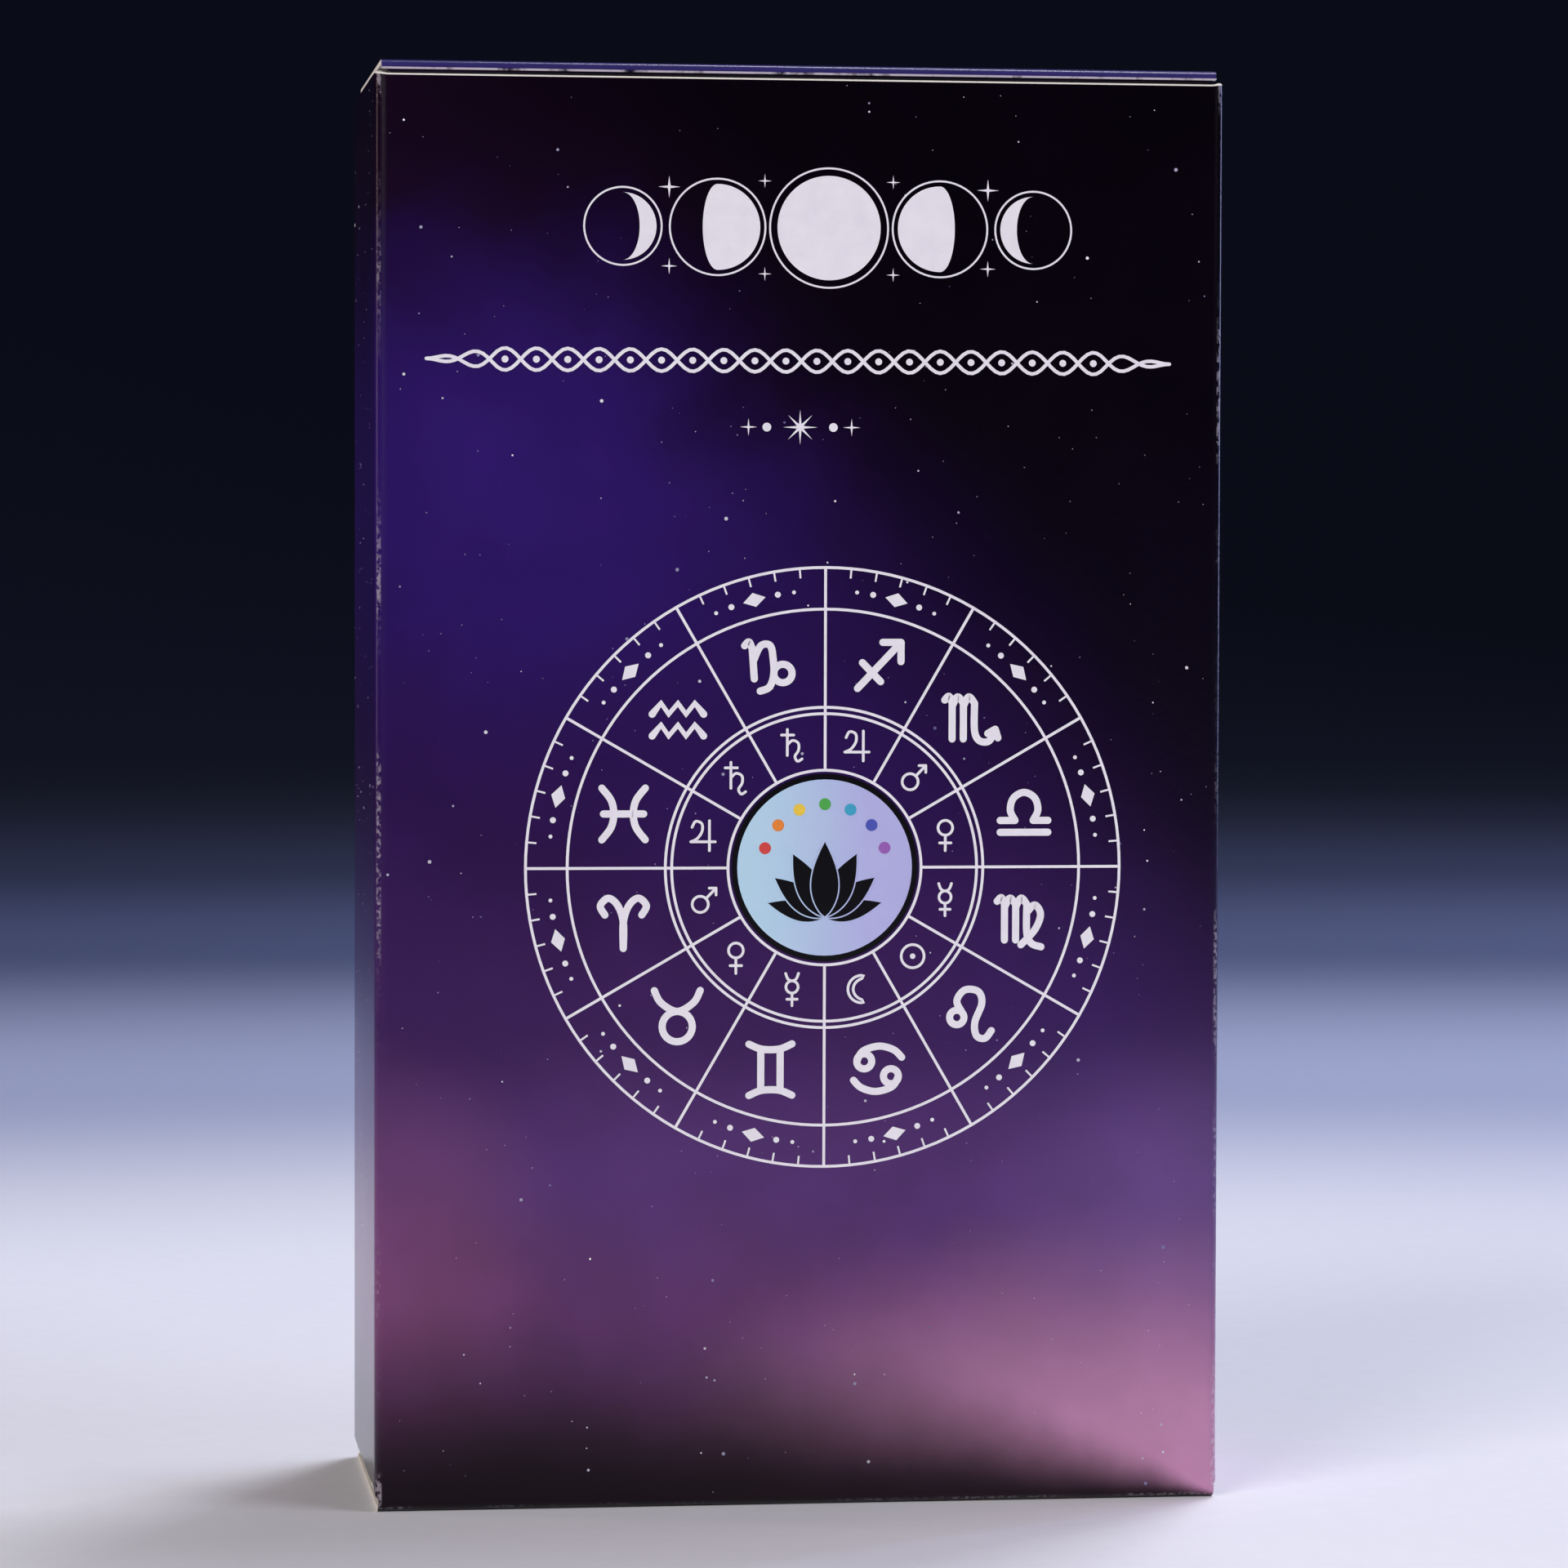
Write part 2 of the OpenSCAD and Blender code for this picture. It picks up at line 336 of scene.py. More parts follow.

# %% [markdown]
# ## Night sky print
# The print is a night sky: near black at the top right, indigo on the left and violet in the middle. Low
# down on the right it is mauve, partly print and partly a painted reflection of the pale floor. A warm
# patch at the left edge is a painted highlight along the front-left fold, and the dark wedge along the foot
# is painted shade. It could be painted as an image. Here it is worked out from the place on the carton, so
# it wraps round every fold without a seam and has no fixed resolution. Two noises bend a colour ramp over
# the height. Soft round masks add the glows and the painted light, each given by its centre, its reach,
# its colour, its strength and how ragged its edge is.

# %% Night sky print
SKY_STOPS = ((0.0, "#5e3160"), (0.12, "#653670"), (0.22, "#573275"), (0.34, "#3d1a5a"), (0.5, "#2e104e"),
             (0.66, "#250f46"), (0.8, "#1d092c"), (0.92, "#1a0722"), (1.0, "#16051c"))
SKY_GLOWS_AND_PAINTED_LIGHT = (
    ((-26.0, 89.0), (33.0, 29.0), "#351b74", 0.9, 1.0),
    ((-2.0, 66.0), (26.0, 18.0), "#2f1760", 0.45, 1.0),
    ((24.0, 44.0), (20.0, 16.0), "#351a64", 0.35, 1.0),
    ((40.0, 24.0), (30.0, 22.0), "#8f73b4", 0.28, 0.4),
    # Mauve low on the right: partly print, partly a painted reflection of the pale floor.
    ((31.0, 0.0), (52.0, 26.0), "#d497bf", 0.9, 0.25),
    # Painted highlight: warm light along the front-left fold.
    ((-34.0, 22.0), (14.0, 20.0), "#8a5076", 0.45, 0.6),
)
GLOW_EDGE = (1.05, 0.1)
CLOUDS = {"scale": 0.034, "detail": 6.0, "roughness": 0.56, "distortion": 0.7}
WISPS = {"scale": 0.12, "detail": 5.0, "roughness": 0.5}
CLOUD_DRIFT = 15.0
WISP_DRIFT = 4.0
CLOUD_WANDER = 0.8
WISP_WANDER = 0.4
DARK_CORNER = {"slant": 1.3, "height": 76.0, "wander": 22.0, "edge": (-8.0, 42.0), "strength": 0.94}
# Painted shade: a dark wedge along the foot of the front, highest left of the middle.
FOOT_MIDDLE = -20.0
FOOT_HEIGHT = 10.2
FOOT_FALL = 0.0031
FOOT_LEAST = 0.3
FOOT_WANDER = 1.5
FOOT_EDGE = (2.0, 0.15)
FOOT_STRENGTH = 0.98
LID_DROP = (0.8, 0.55)
LID_STRENGTH = 0.7


def round_glow(tree, x, z, wander, centre, reach):
    across = calc(tree, "DIVIDE", calc(tree, "SUBTRACT", x, centre[0]), reach[0])
    upward = calc(tree, "DIVIDE", calc(tree, "SUBTRACT", z, centre[1]), reach[1])
    far = calc(tree, "SQRT", calc(tree, "ADD", calc(tree, "MULTIPLY", across, across),
                                  calc(tree, "MULTIPLY", upward, upward)))
    return soft_step(tree, calc(tree, "ADD", far, wander), *GLOW_EDGE)


def painted_foot_shade(tree, x, z, wisps):
    off_middle = calc(tree, "SUBTRACT", x, FOOT_MIDDLE)
    fall = calc(tree, "MULTIPLY", calc(tree, "MULTIPLY", off_middle, off_middle), FOOT_FALL)
    height = calc(tree, "MAXIMUM", calc(tree, "SUBTRACT", FOOT_HEIGHT, fall), FOOT_LEAST)
    share = calc(tree, "DIVIDE", calc(tree, "ADD", z, calc(tree, "MULTIPLY", wisps, FOOT_WANDER)), height)
    return calc(tree, "MULTIPLY", soft_step(tree, share, *FOOT_EDGE), FOOT_STRENGTH)


def night_sky(tree, place):
    split = add(tree, "ShaderNodeSeparateXYZ", {0: place}).outputs
    x, z = split[0], split[2]
    clouds = calc(tree, "SUBTRACT", noise(tree, place, **CLOUDS), 0.5)
    wisps = calc(tree, "SUBTRACT", noise(tree, place, **WISPS), 0.5)
    drift = calc(tree, "ADD", calc(tree, "MULTIPLY", clouds, CLOUD_DRIFT),
                 calc(tree, "MULTIPLY", wisps, WISP_DRIFT))
    height = calc(tree, "DIVIDE", calc(tree, "ADD", z, drift), TOP)
    colour = colour_ramp(tree, height, SKY_STOPS)
    wander = calc(tree, "ADD", calc(tree, "MULTIPLY", clouds, CLOUD_WANDER),
                  calc(tree, "MULTIPLY", wisps, WISP_WANDER))
    for centre, reach, code, strength, ragged in SKY_GLOWS_AND_PAINTED_LIGHT:
        edge = calc(tree, "MULTIPLY", wander, ragged)
        mask = calc(tree, "MULTIPLY", round_glow(tree, x, z, edge, centre, reach), strength)
        colour = mix_colours(tree, mask, colour, code)
    corner = calc(tree, "ADD", calc(tree, "MULTIPLY", x, DARK_CORNER["slant"]),
                  calc(tree, "SUBTRACT", z, DARK_CORNER["height"]))
    corner = calc(tree, "ADD", corner, calc(tree, "MULTIPLY", wander, DARK_CORNER["wander"]))
    dark = calc(tree, "MULTIPLY", soft_step(tree, corner, *DARK_CORNER["edge"]), DARK_CORNER["strength"])
    colour = mix_colours(tree, dark, colour, "#070209")
    # Painted shade along the foot.
    colour = mix_colours(tree, painted_foot_shade(tree, x, z, wisps), colour, "#0e010b")
    on_lid = soft_step(tree, z, TOP - LID_DROP[0], TOP - LID_DROP[1])
    colour = mix_colours(tree, calc(tree, "MULTIPLY", on_lid, LID_STRENGTH), colour, "#3d3580")
    return mix_colours(tree, 1.0, colour, scaled(tree, wisps, 0.5, 0.87), "MULTIPLY")


printed_film, film_tree, film_shader, film_mm = new_material("printed_film")
sky_colour = night_sky(film_tree, film_mm)
print("night sky has", len(SKY_GLOWS_AND_PAINTED_LIGHT), "glows and", len(film_tree.nodes), "nodes")

# %% [markdown]
# ## Wear on the folds
# Handling rubs the print off where it is bent, most of all near the corners, and the lid's fold cracks
# along its score line. The product of the distances into a rounded corner from its two sides is largest
# on the crest of the fold, so that number says where the board is bent most, and fine noises break the
# wear up.

# %% Where the folds are worn
FOOT_CREST_SHARE = 0.92
CREST_SHARES = (0.4, 0.5)
WORN_BELOW_TOP = 6.0
WORN_ABOVE_FOOT = 5.0
WORN_NEAR_SIDE = (-4.0, 0.6)
SCORE_DROP = 0.76
SCORE_HALF = 0.12
SCORE_ZONE = (1.7, 1.4)
CREST_WEAR = 0.42
SCORE_WEAR = 0.8


def fold_crest(tree, place):
    split = add(tree, "ShaderNodeSeparateXYZ", {0: place}).outputs
    side = calc(tree, "SUBTRACT", calc(tree, "ABSOLUTE", split[0]), SIDE - CREASE)
    face = calc(tree, "SUBTRACT", calc(tree, "ABSOLUTE", split[1]), BACK - CREASE)
    lid_front = calc(tree, "SUBTRACT", lid_low.y + FOLD, split[1])
    top = calc(tree, "MAXIMUM", calc(tree, "SUBTRACT", split[2], TOP - FOLD), 0.0)
    foot = calc(tree, "MAXIMUM", calc(tree, "SUBTRACT", CREASE, split[2]), 0.0)
    upright = calc(tree, "MULTIPLY", calc(tree, "MAXIMUM", side, 0.0), calc(tree, "MAXIMUM", face, 0.0))
    lid_fold = calc(tree, "MULTIPLY", calc(tree, "MAXIMUM", lid_front, face), top)
    foot_fold = calc(tree, "MULTIPLY", calc(tree, "MAXIMUM", face, 0.0),
                     calc(tree, "MULTIPLY", foot, FOOT_CREST_SHARE))
    crest = calc(tree, "MAXIMUM", calc(tree, "MAXIMUM", upright, lid_fold), foot_fold)
    near_end = calc(tree, "MAXIMUM", soft_step(tree, split[2], TOP - WORN_BELOW_TOP, TOP),
                    soft_step(tree, split[2], WORN_ABOVE_FOOT, 0.0))
    near_corner = calc(tree, "MULTIPLY", near_end, soft_step(tree, side, *WORN_NEAR_SIDE))
    rubbed = soft_step(tree, crest, *(share * CREASE ** 2 for share in CREST_SHARES))
    off_score = calc(tree, "ABSOLUTE", calc(tree, "SUBTRACT", split[2], TOP - SCORE_DROP))
    score = calc(tree, "SUBTRACT", 1.0, calc(tree, "DIVIDE", off_score, SCORE_HALF))
    at_fold = soft_step(tree, calc(tree, "ABSOLUTE", split[1]), *(BACK - depth for depth in SCORE_ZONE))
    cracked = calc(tree, "MULTIPLY", soft_step(tree, score, 0.0, 0.5), at_fold)
    return rubbed, cracked, near_corner


crest, cracked, near_corner = fold_crest(film_tree, film_mm)
hair = soft_step(film_tree, noise(film_tree, film_mm, 2.2, 5.0, 0.6), 0.44, 0.6)
rubbed = calc(film_tree, "ADD", noise(film_tree, film_mm, 0.08, 3.0, 0.5),
              calc(film_tree, "MULTIPLY", near_corner, 0.3))
rubbed = soft_step(film_tree, rubbed, 0.44, 0.66)
worn = calc(film_tree, "MULTIPLY", calc(film_tree, "MULTIPLY", crest, hair),
            calc(film_tree, "MULTIPLY", rubbed, CREST_WEAR))
crack_gap = soft_step(film_tree, noise(film_tree, film_mm, 0.25, 4.0, 0.7), 0.34, 0.5)
crack = calc(film_tree, "MULTIPLY", calc(film_tree, "MULTIPLY", cracked, crack_gap), SCORE_WEAR)
worn = calc(film_tree, "MAXIMUM", worn, crack)
print("score line", SCORE_DROP, "mm under the lid's top")

# %% [markdown]
# ## Gloss film
# A clear film over the print makes it glossy. It is never quite even: faint smears change its roughness,
# a fine orange peel bends what it mirrors, and it is dull where it is worn. The smears stay within a
# narrow range, because a film that is partly sharp and partly dull would show their outlines.

# %% Gloss film over the print
FILM_GLOSS = {"Specular IOR Level": 0.16, "Coat Weight": 0.16, "Coat Roughness": 0.1}
FILM_ROUGHNESS = (0.2, 0.268)
WORN_ROUGHNESS = 0.4
film_colour = mix_colours(film_tree, worn, sky_colour, "#cfc6d6")
smear = noise(film_tree, film_mm, 0.06, 4.0, 0.6)
film_rough = calc(film_tree, "ADD", spread(film_tree, smear, *FILM_ROUGHNESS),
                  calc(film_tree, "MULTIPLY", worn, WORN_ROUGHNESS))
peel = noise(film_tree, film_mm, 1.6, 3.0, 0.55)
peel_bump = add(film_tree, "ShaderNodeBump",
                {"Strength": 0.06, "Distance": 0.0002, "Height": peel}).outputs[0]
fill(film_tree, film_shader, {"Base Color": film_colour, "Roughness": film_rough, "Normal": peel_bump,
                              **FILM_GLOSS})
print("printed film has", len(film_tree.nodes), "nodes")

# %% [markdown]
# ## White board and its cut edges
# The inside of the board is uncoated, so it is matt, faintly warm and has a fibre grain. Where the board
# is cut, its layers show as a pale line. Those thin white edges are what tells a viewer that the carton
# is paper and not a painted block, so they get a material of their own.

# %% Inside and cut edges of the board
def board_material(name, pale, dull, grain_scale):
    material, tree, shader, place = new_material(name)
    fibre = noise(tree, place, grain_scale, 6.0, 0.7, 0.3)
    flecks = soft_step(tree, noise(tree, place, 2.6, 2.0, 0.4), 0.66, 0.74)
    tone = mix_colours(tree, fibre, dull, pale)
    tone = mix_colours(tree, calc(tree, "MULTIPLY", flecks, 0.3), tone, "#b7ada0")
    bump = add(tree, "ShaderNodeBump", {"Strength": 0.25, "Distance": 0.00008, "Height": fibre}).outputs[0]
    fill(tree, shader, {"Base Color": tone, "Normal": bump, "Roughness": 0.82, "Specular IOR Level": 0.3})
    return material


white_board = board_material("white_board", "#efece6", "#dfdbd3", 1.4)
cut_edge = board_material("cut_edge", "#f4f1ea", "#cfc9bf", 3.5)
print("board materials:", white_board.name, cut_edge.name)

# %% [markdown]
# ## A sheet of folded board
# Every part of the carton is the same thing: a sheet of one thickness whose section is a row of straight
# runs and round folds. So one function makes them all. It takes the section as points with their outward
# directions, and the width of the sheet at each point, and builds the printed outside, the white inside
# and the cut rim as one closed skin. A rim that butts against the next sheet carries the print, so no
# white line shows there.

# %% Sheet builder
PRINT, INSIDE, CUT = 0, 1, 2
SHARP_ANGLE = math.radians(40)


def skin(name, outer, inner, joined=(), bare=()):
    rows, columns = len(outer), len(outer[0])
    points = [p * MM for row in outer for p in row] + [p * MM for row in inner for p in row]
    shift = rows * columns
    faces, slots = [], []
    for r in range(rows - 1):
        for c in range(columns - 1):
            a = r * columns + c
            quad = (a, a + 1, a + columns + 1, a + columns)
            faces += [quad, tuple(shift + i for i in reversed(quad))]
            slots += [CUT if (r, c) in bare else PRINT, INSIDE]
    rims = {"start": list(range(columns)),
            "end": [(rows - 1) * columns + c for c in range(columns)],
            "low": [r * columns for r in range(rows)],
            "high": [r * columns + columns - 1 for r in range(rows)]}
    for side, line in rims.items():
        for a, b in zip(line, line[1:]):
            faces.append((a, b, shift + b, shift + a))
            slots.append(PRINT if side in joined else CUT)
    mesh = bpy.data.meshes.new(name)
    mesh.from_pydata(points, [], faces)
    mesh.polygons.foreach_set("material_index", slots)
    for material in (printed_film, white_board, cut_edge):
        mesh.materials.append(material)
    work = bmesh.new()
    work.from_mesh(mesh)
    bmesh.ops.recalc_face_normals(work, faces=work.faces)
    for edge in work.edges:
        kinds = {f.material_index for f in edge.link_faces}
        edge.smooth = len(kinds) == 1 and edge.calc_face_angle(0.0) < SHARP_ANGLE
    for face in work.faces:
        face.smooth = True
    work.to_mesh(mesh)
    work.free()
    return new_object(name, mesh)


def straight(start, end, outward, steps):
    return [(Vector(start).lerp(Vector(end), i / steps), Vector(outward)) for i in range(steps + 1)]


def rounded(centre, radius, first, last, steps):
    run = []
    for i in range(steps + 1):
        angle = math.radians(first + (last - first) * i / steps)
        outward = Vector((math.cos(angle), math.sin(angle)))
        run.append((Vector(centre) + outward * radius, outward))
    return run


def sheet(name, along, section, width, columns=12, crown=0.0, joined=()):
    outer, inner = [], []
    last = len(section) - 1
    for i, (point, outward) in enumerate(section):
        low, high = width(point) if callable(width) else width
        outer_row, inner_row = [], []
        for c in range(columns + 1):
            s = 2 * c / columns - 1
            t = 2 * i / last - 1
            out = point + outward * crown * (1 - s * s) * (1 - t * t)
            back = out - outward * BOARD
            w = low + (high - low) * c / columns
            for row, q in ((outer_row, out), (inner_row, back)):
                row.append(Vector((w, q.x, q.y)) if along == "x" else Vector((q.x, w, q.y)))
        outer.append(outer_row)
        inner.append(inner_row)
    return skin(name, outer, inner, joined)


print("sheet builder ready, board", round(BOARD, 2), "mm")

# %% [markdown]
# ## Carton sleeve
# The four panels are one strip that is folded round and glued to itself. The glue flap on the right panel
# goes inside the back panel, so the back panel's raw edge shows as a pale upright line at one rear
# corner. The strip is followed once round from that raw edge to the end of the glue flap. The panels are
# a little puffed out by what is inside, which bends the reflections as on a real carton.

# %% Puff of the panels
PUFFS = {"front": 0.42, "back": 0.3, "left": 0.16, "right": 0.16}
HINGE = 0.9
SIDE_HALF = BACK - CREASE
WIDE_HALF = SIDE - CREASE
dust_root = dust_high.z - HINGE
lid_root = TOP - HINGE
PANEL_SPANS = {"front": (WIDE_HALF, front_low.z, front_high.z), "back": (WIDE_HALF, back_low.z, lid_root),
               "left": (SIDE_HALF, right_low.z, dust_root), "right": (SIDE_HALF, right_low.z, dust_root)}


def puff(face, across, up):
    half, low, high = PANEL_SPANS[face]
    s = min(abs(across) / half, 1.0)
    t = min(max((up - low) / (high - low), 0.0), 1.0)
    return PUFFS[face] * (1 - s * s) ** 1.5 * 4 * t * (1 - t)


print("front stands out by", round(puff("front", 0, 62), 2), "mm at its middle")

# %% Columns round the sleeve
BACK_STEPS = 24
SIDE_STEPS = 12
FRONT_STEPS = 36
GLUE_STEPS = 4
GLUE_GAP = 0.02
GLUE_SLOPE = math.tan(math.radians(30))
RAW_EDGE_INSET = 0.8
RAW_EDGE = SIDE - RAW_EDGE_INSET
RAW_SIDE_DROP = 0.05
RAW_SIDE_TOP = right_high.z - RAW_SIDE_DROP
STEP_HALF = 0.01
sleeve_columns = []


def column(x, y, outward, low, high, face, across=0.0, free=False):
    sleeve_columns.append((Vector((x, y)), Vector(outward), low, high, face, across, free))


def corner(cx, cy, first, low, high, free=False, steps=7):
    for i in range(1, steps):
        t = i / steps
        a = math.radians(first + 90 * t)
        out = (math.cos(a), math.sin(a))
        ease = t ** 3 if low[0] < low[1] else 1 - (1 - t) ** 3
        column(cx + CREASE * out[0], cy + CREASE * out[1], out,
               low[0] + (low[1] - low[0]) * ease, high[0] + (high[1] - high[0]) * t, "corner", free=free)


def side_top(y):
    return RAW_SIDE_TOP if y < dust_low.y else dust_root


for i in range(BACK_STEPS + 1):
    x = RAW_EDGE + (-WIDE_HALF - RAW_EDGE) * i / BACK_STEPS
    column(x, BACK, (0, 1), back_low.z, lid_root, "back", x)
corner(-WIDE_HALF, SIDE_HALF, 90, (back_low.z, right_low.z), (lid_root, dust_root))
side_stops = [SIDE_HALF - 2 * SIDE_HALF * i / SIDE_STEPS for i in range(SIDE_STEPS + 1)]
side_stops += [dust_low.y + STEP_HALF, dust_low.y - STEP_HALF]
for y in sorted(side_stops, reverse=True):
    column(-SIDE, y, (-1, 0), right_low.z, side_top(y), "left", y, y < dust_low.y)
corner(-WIDE_HALF, -SIDE_HALF, 180, (right_low.z, front_low.z), (RAW_SIDE_TOP, front_high.z), True)
for i in range(FRONT_STEPS + 1):
    x = -WIDE_HALF + 2 * WIDE_HALF * i / FRONT_STEPS
    column(x, FRONT, (0, -1), front_low.z, front_high.z, "front", x, True)
corner(WIDE_HALF, -SIDE_HALF, 270, (front_low.z, right_low.z), (front_high.z, RAW_SIDE_TOP), True)
glue_face = BACK - BOARD - GLUE_GAP
for y in sorted(min(v, glue_face - CREASE) for v in side_stops):
    column(SIDE, y, (1, 0), right_low.z, side_top(y), "right", y, y < dust_low.y)
corner(WIDE_HALF, glue_face - CREASE, 0, (right_low.z, glue_low.z), (dust_root, glue_high.z))
for i in range(GLUE_STEPS + 1):
    step = (glue_high.x - glue_low.x) * i / GLUE_STEPS
    slope = step * GLUE_SLOPE
    column(glue_high.x - step, glue_face, (0, 1), glue_low.z + slope, glue_high.z - slope, "glue flap")
print("sleeve has", len(sleeve_columns), "columns")

# %% Sleeve skin
SLEEVE_ROWS = 44
EDGE_ROLL = 0.15
TIGHT_CREASE = 0.55
PINCH_HEIGHT = 5.0


def pinch(outward, z):
    close = min(max(1 - z / PINCH_HEIGHT, 0.0), 1.0) ** 2
    slack = (CREASE - TIGHT_CREASE) * close
    return Vector((math.copysign(slack, outward.x), math.copysign(slack, outward.y))) - outward * slack


def sleeve():
    heights = [i / SLEEVE_ROWS for i in range(SLEEVE_ROWS + 1)] + [1.0]
    outer, inner = [], []
    for i, share in enumerate(heights):
        outer_row, inner_row = [], []
        for place, outward, low, high, face, across, free in sleeve_columns:
            roll = EDGE_ROLL if i > SLEEVE_ROWS and free else 0.0
            z = low + (high - (EDGE_ROLL if i == SLEEVE_ROWS else 0.0) - low) * share
            out = place.copy()
            if face == "corner":
                out += pinch(outward, z)
            elif face in PUFFS:
                out += outward * puff(face, across, z)
            back = out - outward * BOARD
            out -= outward * roll
            outer_row.append(Vector((out.x, out.y, z)))
            inner_row.append(Vector((back.x, back.y, z)))
        outer.append(outer_row)
        inner.append(inner_row)
    ends = [c[-1] for c in sleeve_columns]
    bare = {(SLEEVE_ROWS, c) for c in range(len(ends) - 1) if ends[c] and ends[c + 1]}
    return skin("carton_sleeve", outer, inner, bare=bare)


carton_sleeve = sleeve()
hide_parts("front_panel", "back_panel", "left_panel", "right_panel", "glue_flap")
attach(carton_sleeve, "carton")
print("sleeve faces:", len(carton_sleeve.data.polygons))

# %% [markdown]
# ## Bottom flaps
# The bottom is closed for good: two dust flaps come in from the sides, one flap from the back lies under
# them, and the printed flap that is folded from the front is glued over it. Each is one sheet with a
# round fold where it leaves its panel and a flat run after that.

# %% Outline of a dust flap
DUST_CORNER = 3.0
DUST_LENGTH = dust_high.x - dust_low.x
DUST_SLOPE = math.tan(math.radians(42))
DUST_STEPS = 6


def dust_width(from_fold):
    front = dust_low.y
    past = from_fold - (DUST_LENGTH - DUST_CORNER)
    if past > 0:
        front += DUST_CORNER - math.sqrt(max(DUST_CORNER ** 2 - past ** 2, 0.0))
    return front, dust_high.y - from_fold * DUST_SLOPE


def dust_run(start, side, z):
    flat = DUST_LENGTH - DUST_CORNER - start
    stops = [start + flat * i / DUST_STEPS for i in range(DUST_STEPS + 1)]
    for i in range(1, DUST_STEPS + 1):
        stops.append(DUST_LENGTH - DUST_CORNER * (1 - math.sin(math.pi / 2 * i / DUST_STEPS)))
    return [Vector((side * (SIDE - s), z)) for s in stops]


print("dust flap at its fold:", [round(v, 2) for v in dust_width(0)])

# %% Bottom flaps
FLAP_INSET = 0.28
FLAP_HALF = SIDE - FLAP_INSET
outer_section = rounded((FRONT + CREASE, CREASE), CREASE, 180, 270, 8)
outer_section += straight((FRONT + CREASE, 0), (bottom_high.y, 0), (0, -1), 8)[1:]
bottom_outer = sheet("bottom_flap_printed", "x", outer_section, (-FLAP_HALF, FLAP_HALF), joined=("start",))
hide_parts("bottom_outer_flap")

inner_section = rounded((BACK - CREASE, inner_low.z + CREASE), CREASE, 0, -90, 8)
inner_section += straight((BACK - CREASE, inner_low.z), (inner_low.y, inner_low.z), (0, -1), 6)[1:]
bottom_inner = sheet("bottom_flap_inner", "x", inner_section, (inner_low.x, inner_high.x), joined=("start",))
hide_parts("bottom_inner_flap")


def bottom_dust(side_name, side):
    level = node_box("bottom_dust_flap_" + side_name)[0].z
    angles = (0, -90) if side > 0 else (180, 270)
    section = rounded((side * WIDE_HALF, level + CREASE), CREASE, *angles, 8)
    section += [(p, Vector((0, -1))) for p in dust_run(CREASE, side, level)[1:]]
    piece = sheet("bottom_dust_flap_" + side_name + "_board", "y", section,
                  lambda p: dust_width(SIDE - abs(p.x)), joined=("start",))
    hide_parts("bottom_dust_flap_" + side_name)
    return piece


bottom_pieces = [bottom_outer, bottom_inner, bottom_dust("left", -1), bottom_dust("right", 1)]
for piece in bottom_pieces:
    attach(piece, "carton")
print("bottom pieces:", [p.name for p in bottom_pieces])

# %% [markdown]
# ## Lid, tuck flap and dust flaps
# The lid is folded from the back panel, the tuck flap from the lid, and each dust flap from a side panel.
# The flat runs ride rigidly on their own bodies.

# %% Flat runs of the lid and flaps
LID_CROWN = 0.28
TUCK_LEAN = 14.0
TUCK_CORNER = 7.0
TUCK_STEPS = 3
TUCK_CORNER_STEPS = 12
tuck_fold = (lid_low.y + FOLD, TOP - FOLD)
lid_section = straight((BACK - HINGE, TOP), (tuck_fold[0], TOP), (0, 1), 12)
lid = sheet("lid_board", "x", lid_section, (lid_low.x, lid_high.x), 24, LID_CROWN, ("start", "end"))
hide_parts("top_lid")
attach(lid, "top_lid")

lean = math.radians(TUCK_LEAN)
tuck_out = Vector((-math.cos(lean), -math.sin(lean)))
tuck_down = Vector((math.sin(lean), -math.cos(lean)))
tuck_start = Vector(tuck_fold) + tuck_out * FOLD
tuck_length = (tuck_start.y - tuck_low.z) / math.cos(lean)
tuck_half = tuck_high.x


def tuck_width(point):
    past = (point - tuck_start).length - (tuck_length - TUCK_CORNER)
    half = tuck_half
    if past > 0:
        half += math.sqrt(max(TUCK_CORNER ** 2 - past ** 2, 0.0)) - TUCK_CORNER
    return -half, half


tuck_stops = [(tuck_length - TUCK_CORNER) * i / TUCK_STEPS for i in range(TUCK_STEPS + 1)]
for i in range(1, TUCK_CORNER_STEPS + 1):
    tuck_stops.append(tuck_length - TUCK_CORNER * (1 - math.sin(math.pi / 2 * i / TUCK_CORNER_STEPS)))
tuck_section = [(tuck_start + tuck_down * s, tuck_out) for s in tuck_stops]
tuck = sheet("tuck_board", "x", tuck_section, tuck_width, 24, joined=("start",))
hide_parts("tuck_flap")
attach(tuck, "tuck_flap")


def dust_board(side_name, side):
    section = [(p, Vector((0, 1))) for p in dust_run(HINGE, side, dust_high.z)]
    piece = sheet("dust_board_" + side_name, "y", section, lambda p: dust_width(SIDE - abs(p.x)),
                  joined=("start",))
    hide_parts("dust_flap_" + side_name)
    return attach(piece, "dust_flap_" + side_name)


flat_runs = [lid, tuck, dust_board("left", -1), dust_board("right", 1)]
print("tuck flap length", round(tuck_length, 2), "mm")

# %% Round folds between the flat runs
def bend(piece):
    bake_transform(piece)
    return piece


TAPER_START = 0.15
TAPER_RUN = 0.3
lid_strip = sheet("lid_fold", "x", rounded((BACK - HINGE, lid_root), HINGE, 0, 90, 14),
                  (lid_low.x, lid_high.x), 24, joined=("start", "end"))
bend(lid_strip)


def tuck_strip_width(point):
    taper = min(max((TOP - FOLD + TAPER_START - point.y) / TAPER_RUN, 0.0), 1.0)
    half = lid_high.x + (tuck_half - lid_high.x) * taper
    return -half, half


tuck_strip = sheet("tuck_fold_strip", "x", rounded(tuck_fold, FOLD, 90, 180 + TUCK_LEAN, 18),
                   tuck_strip_width, 24, joined=("start", "end"))
bend(tuck_strip)


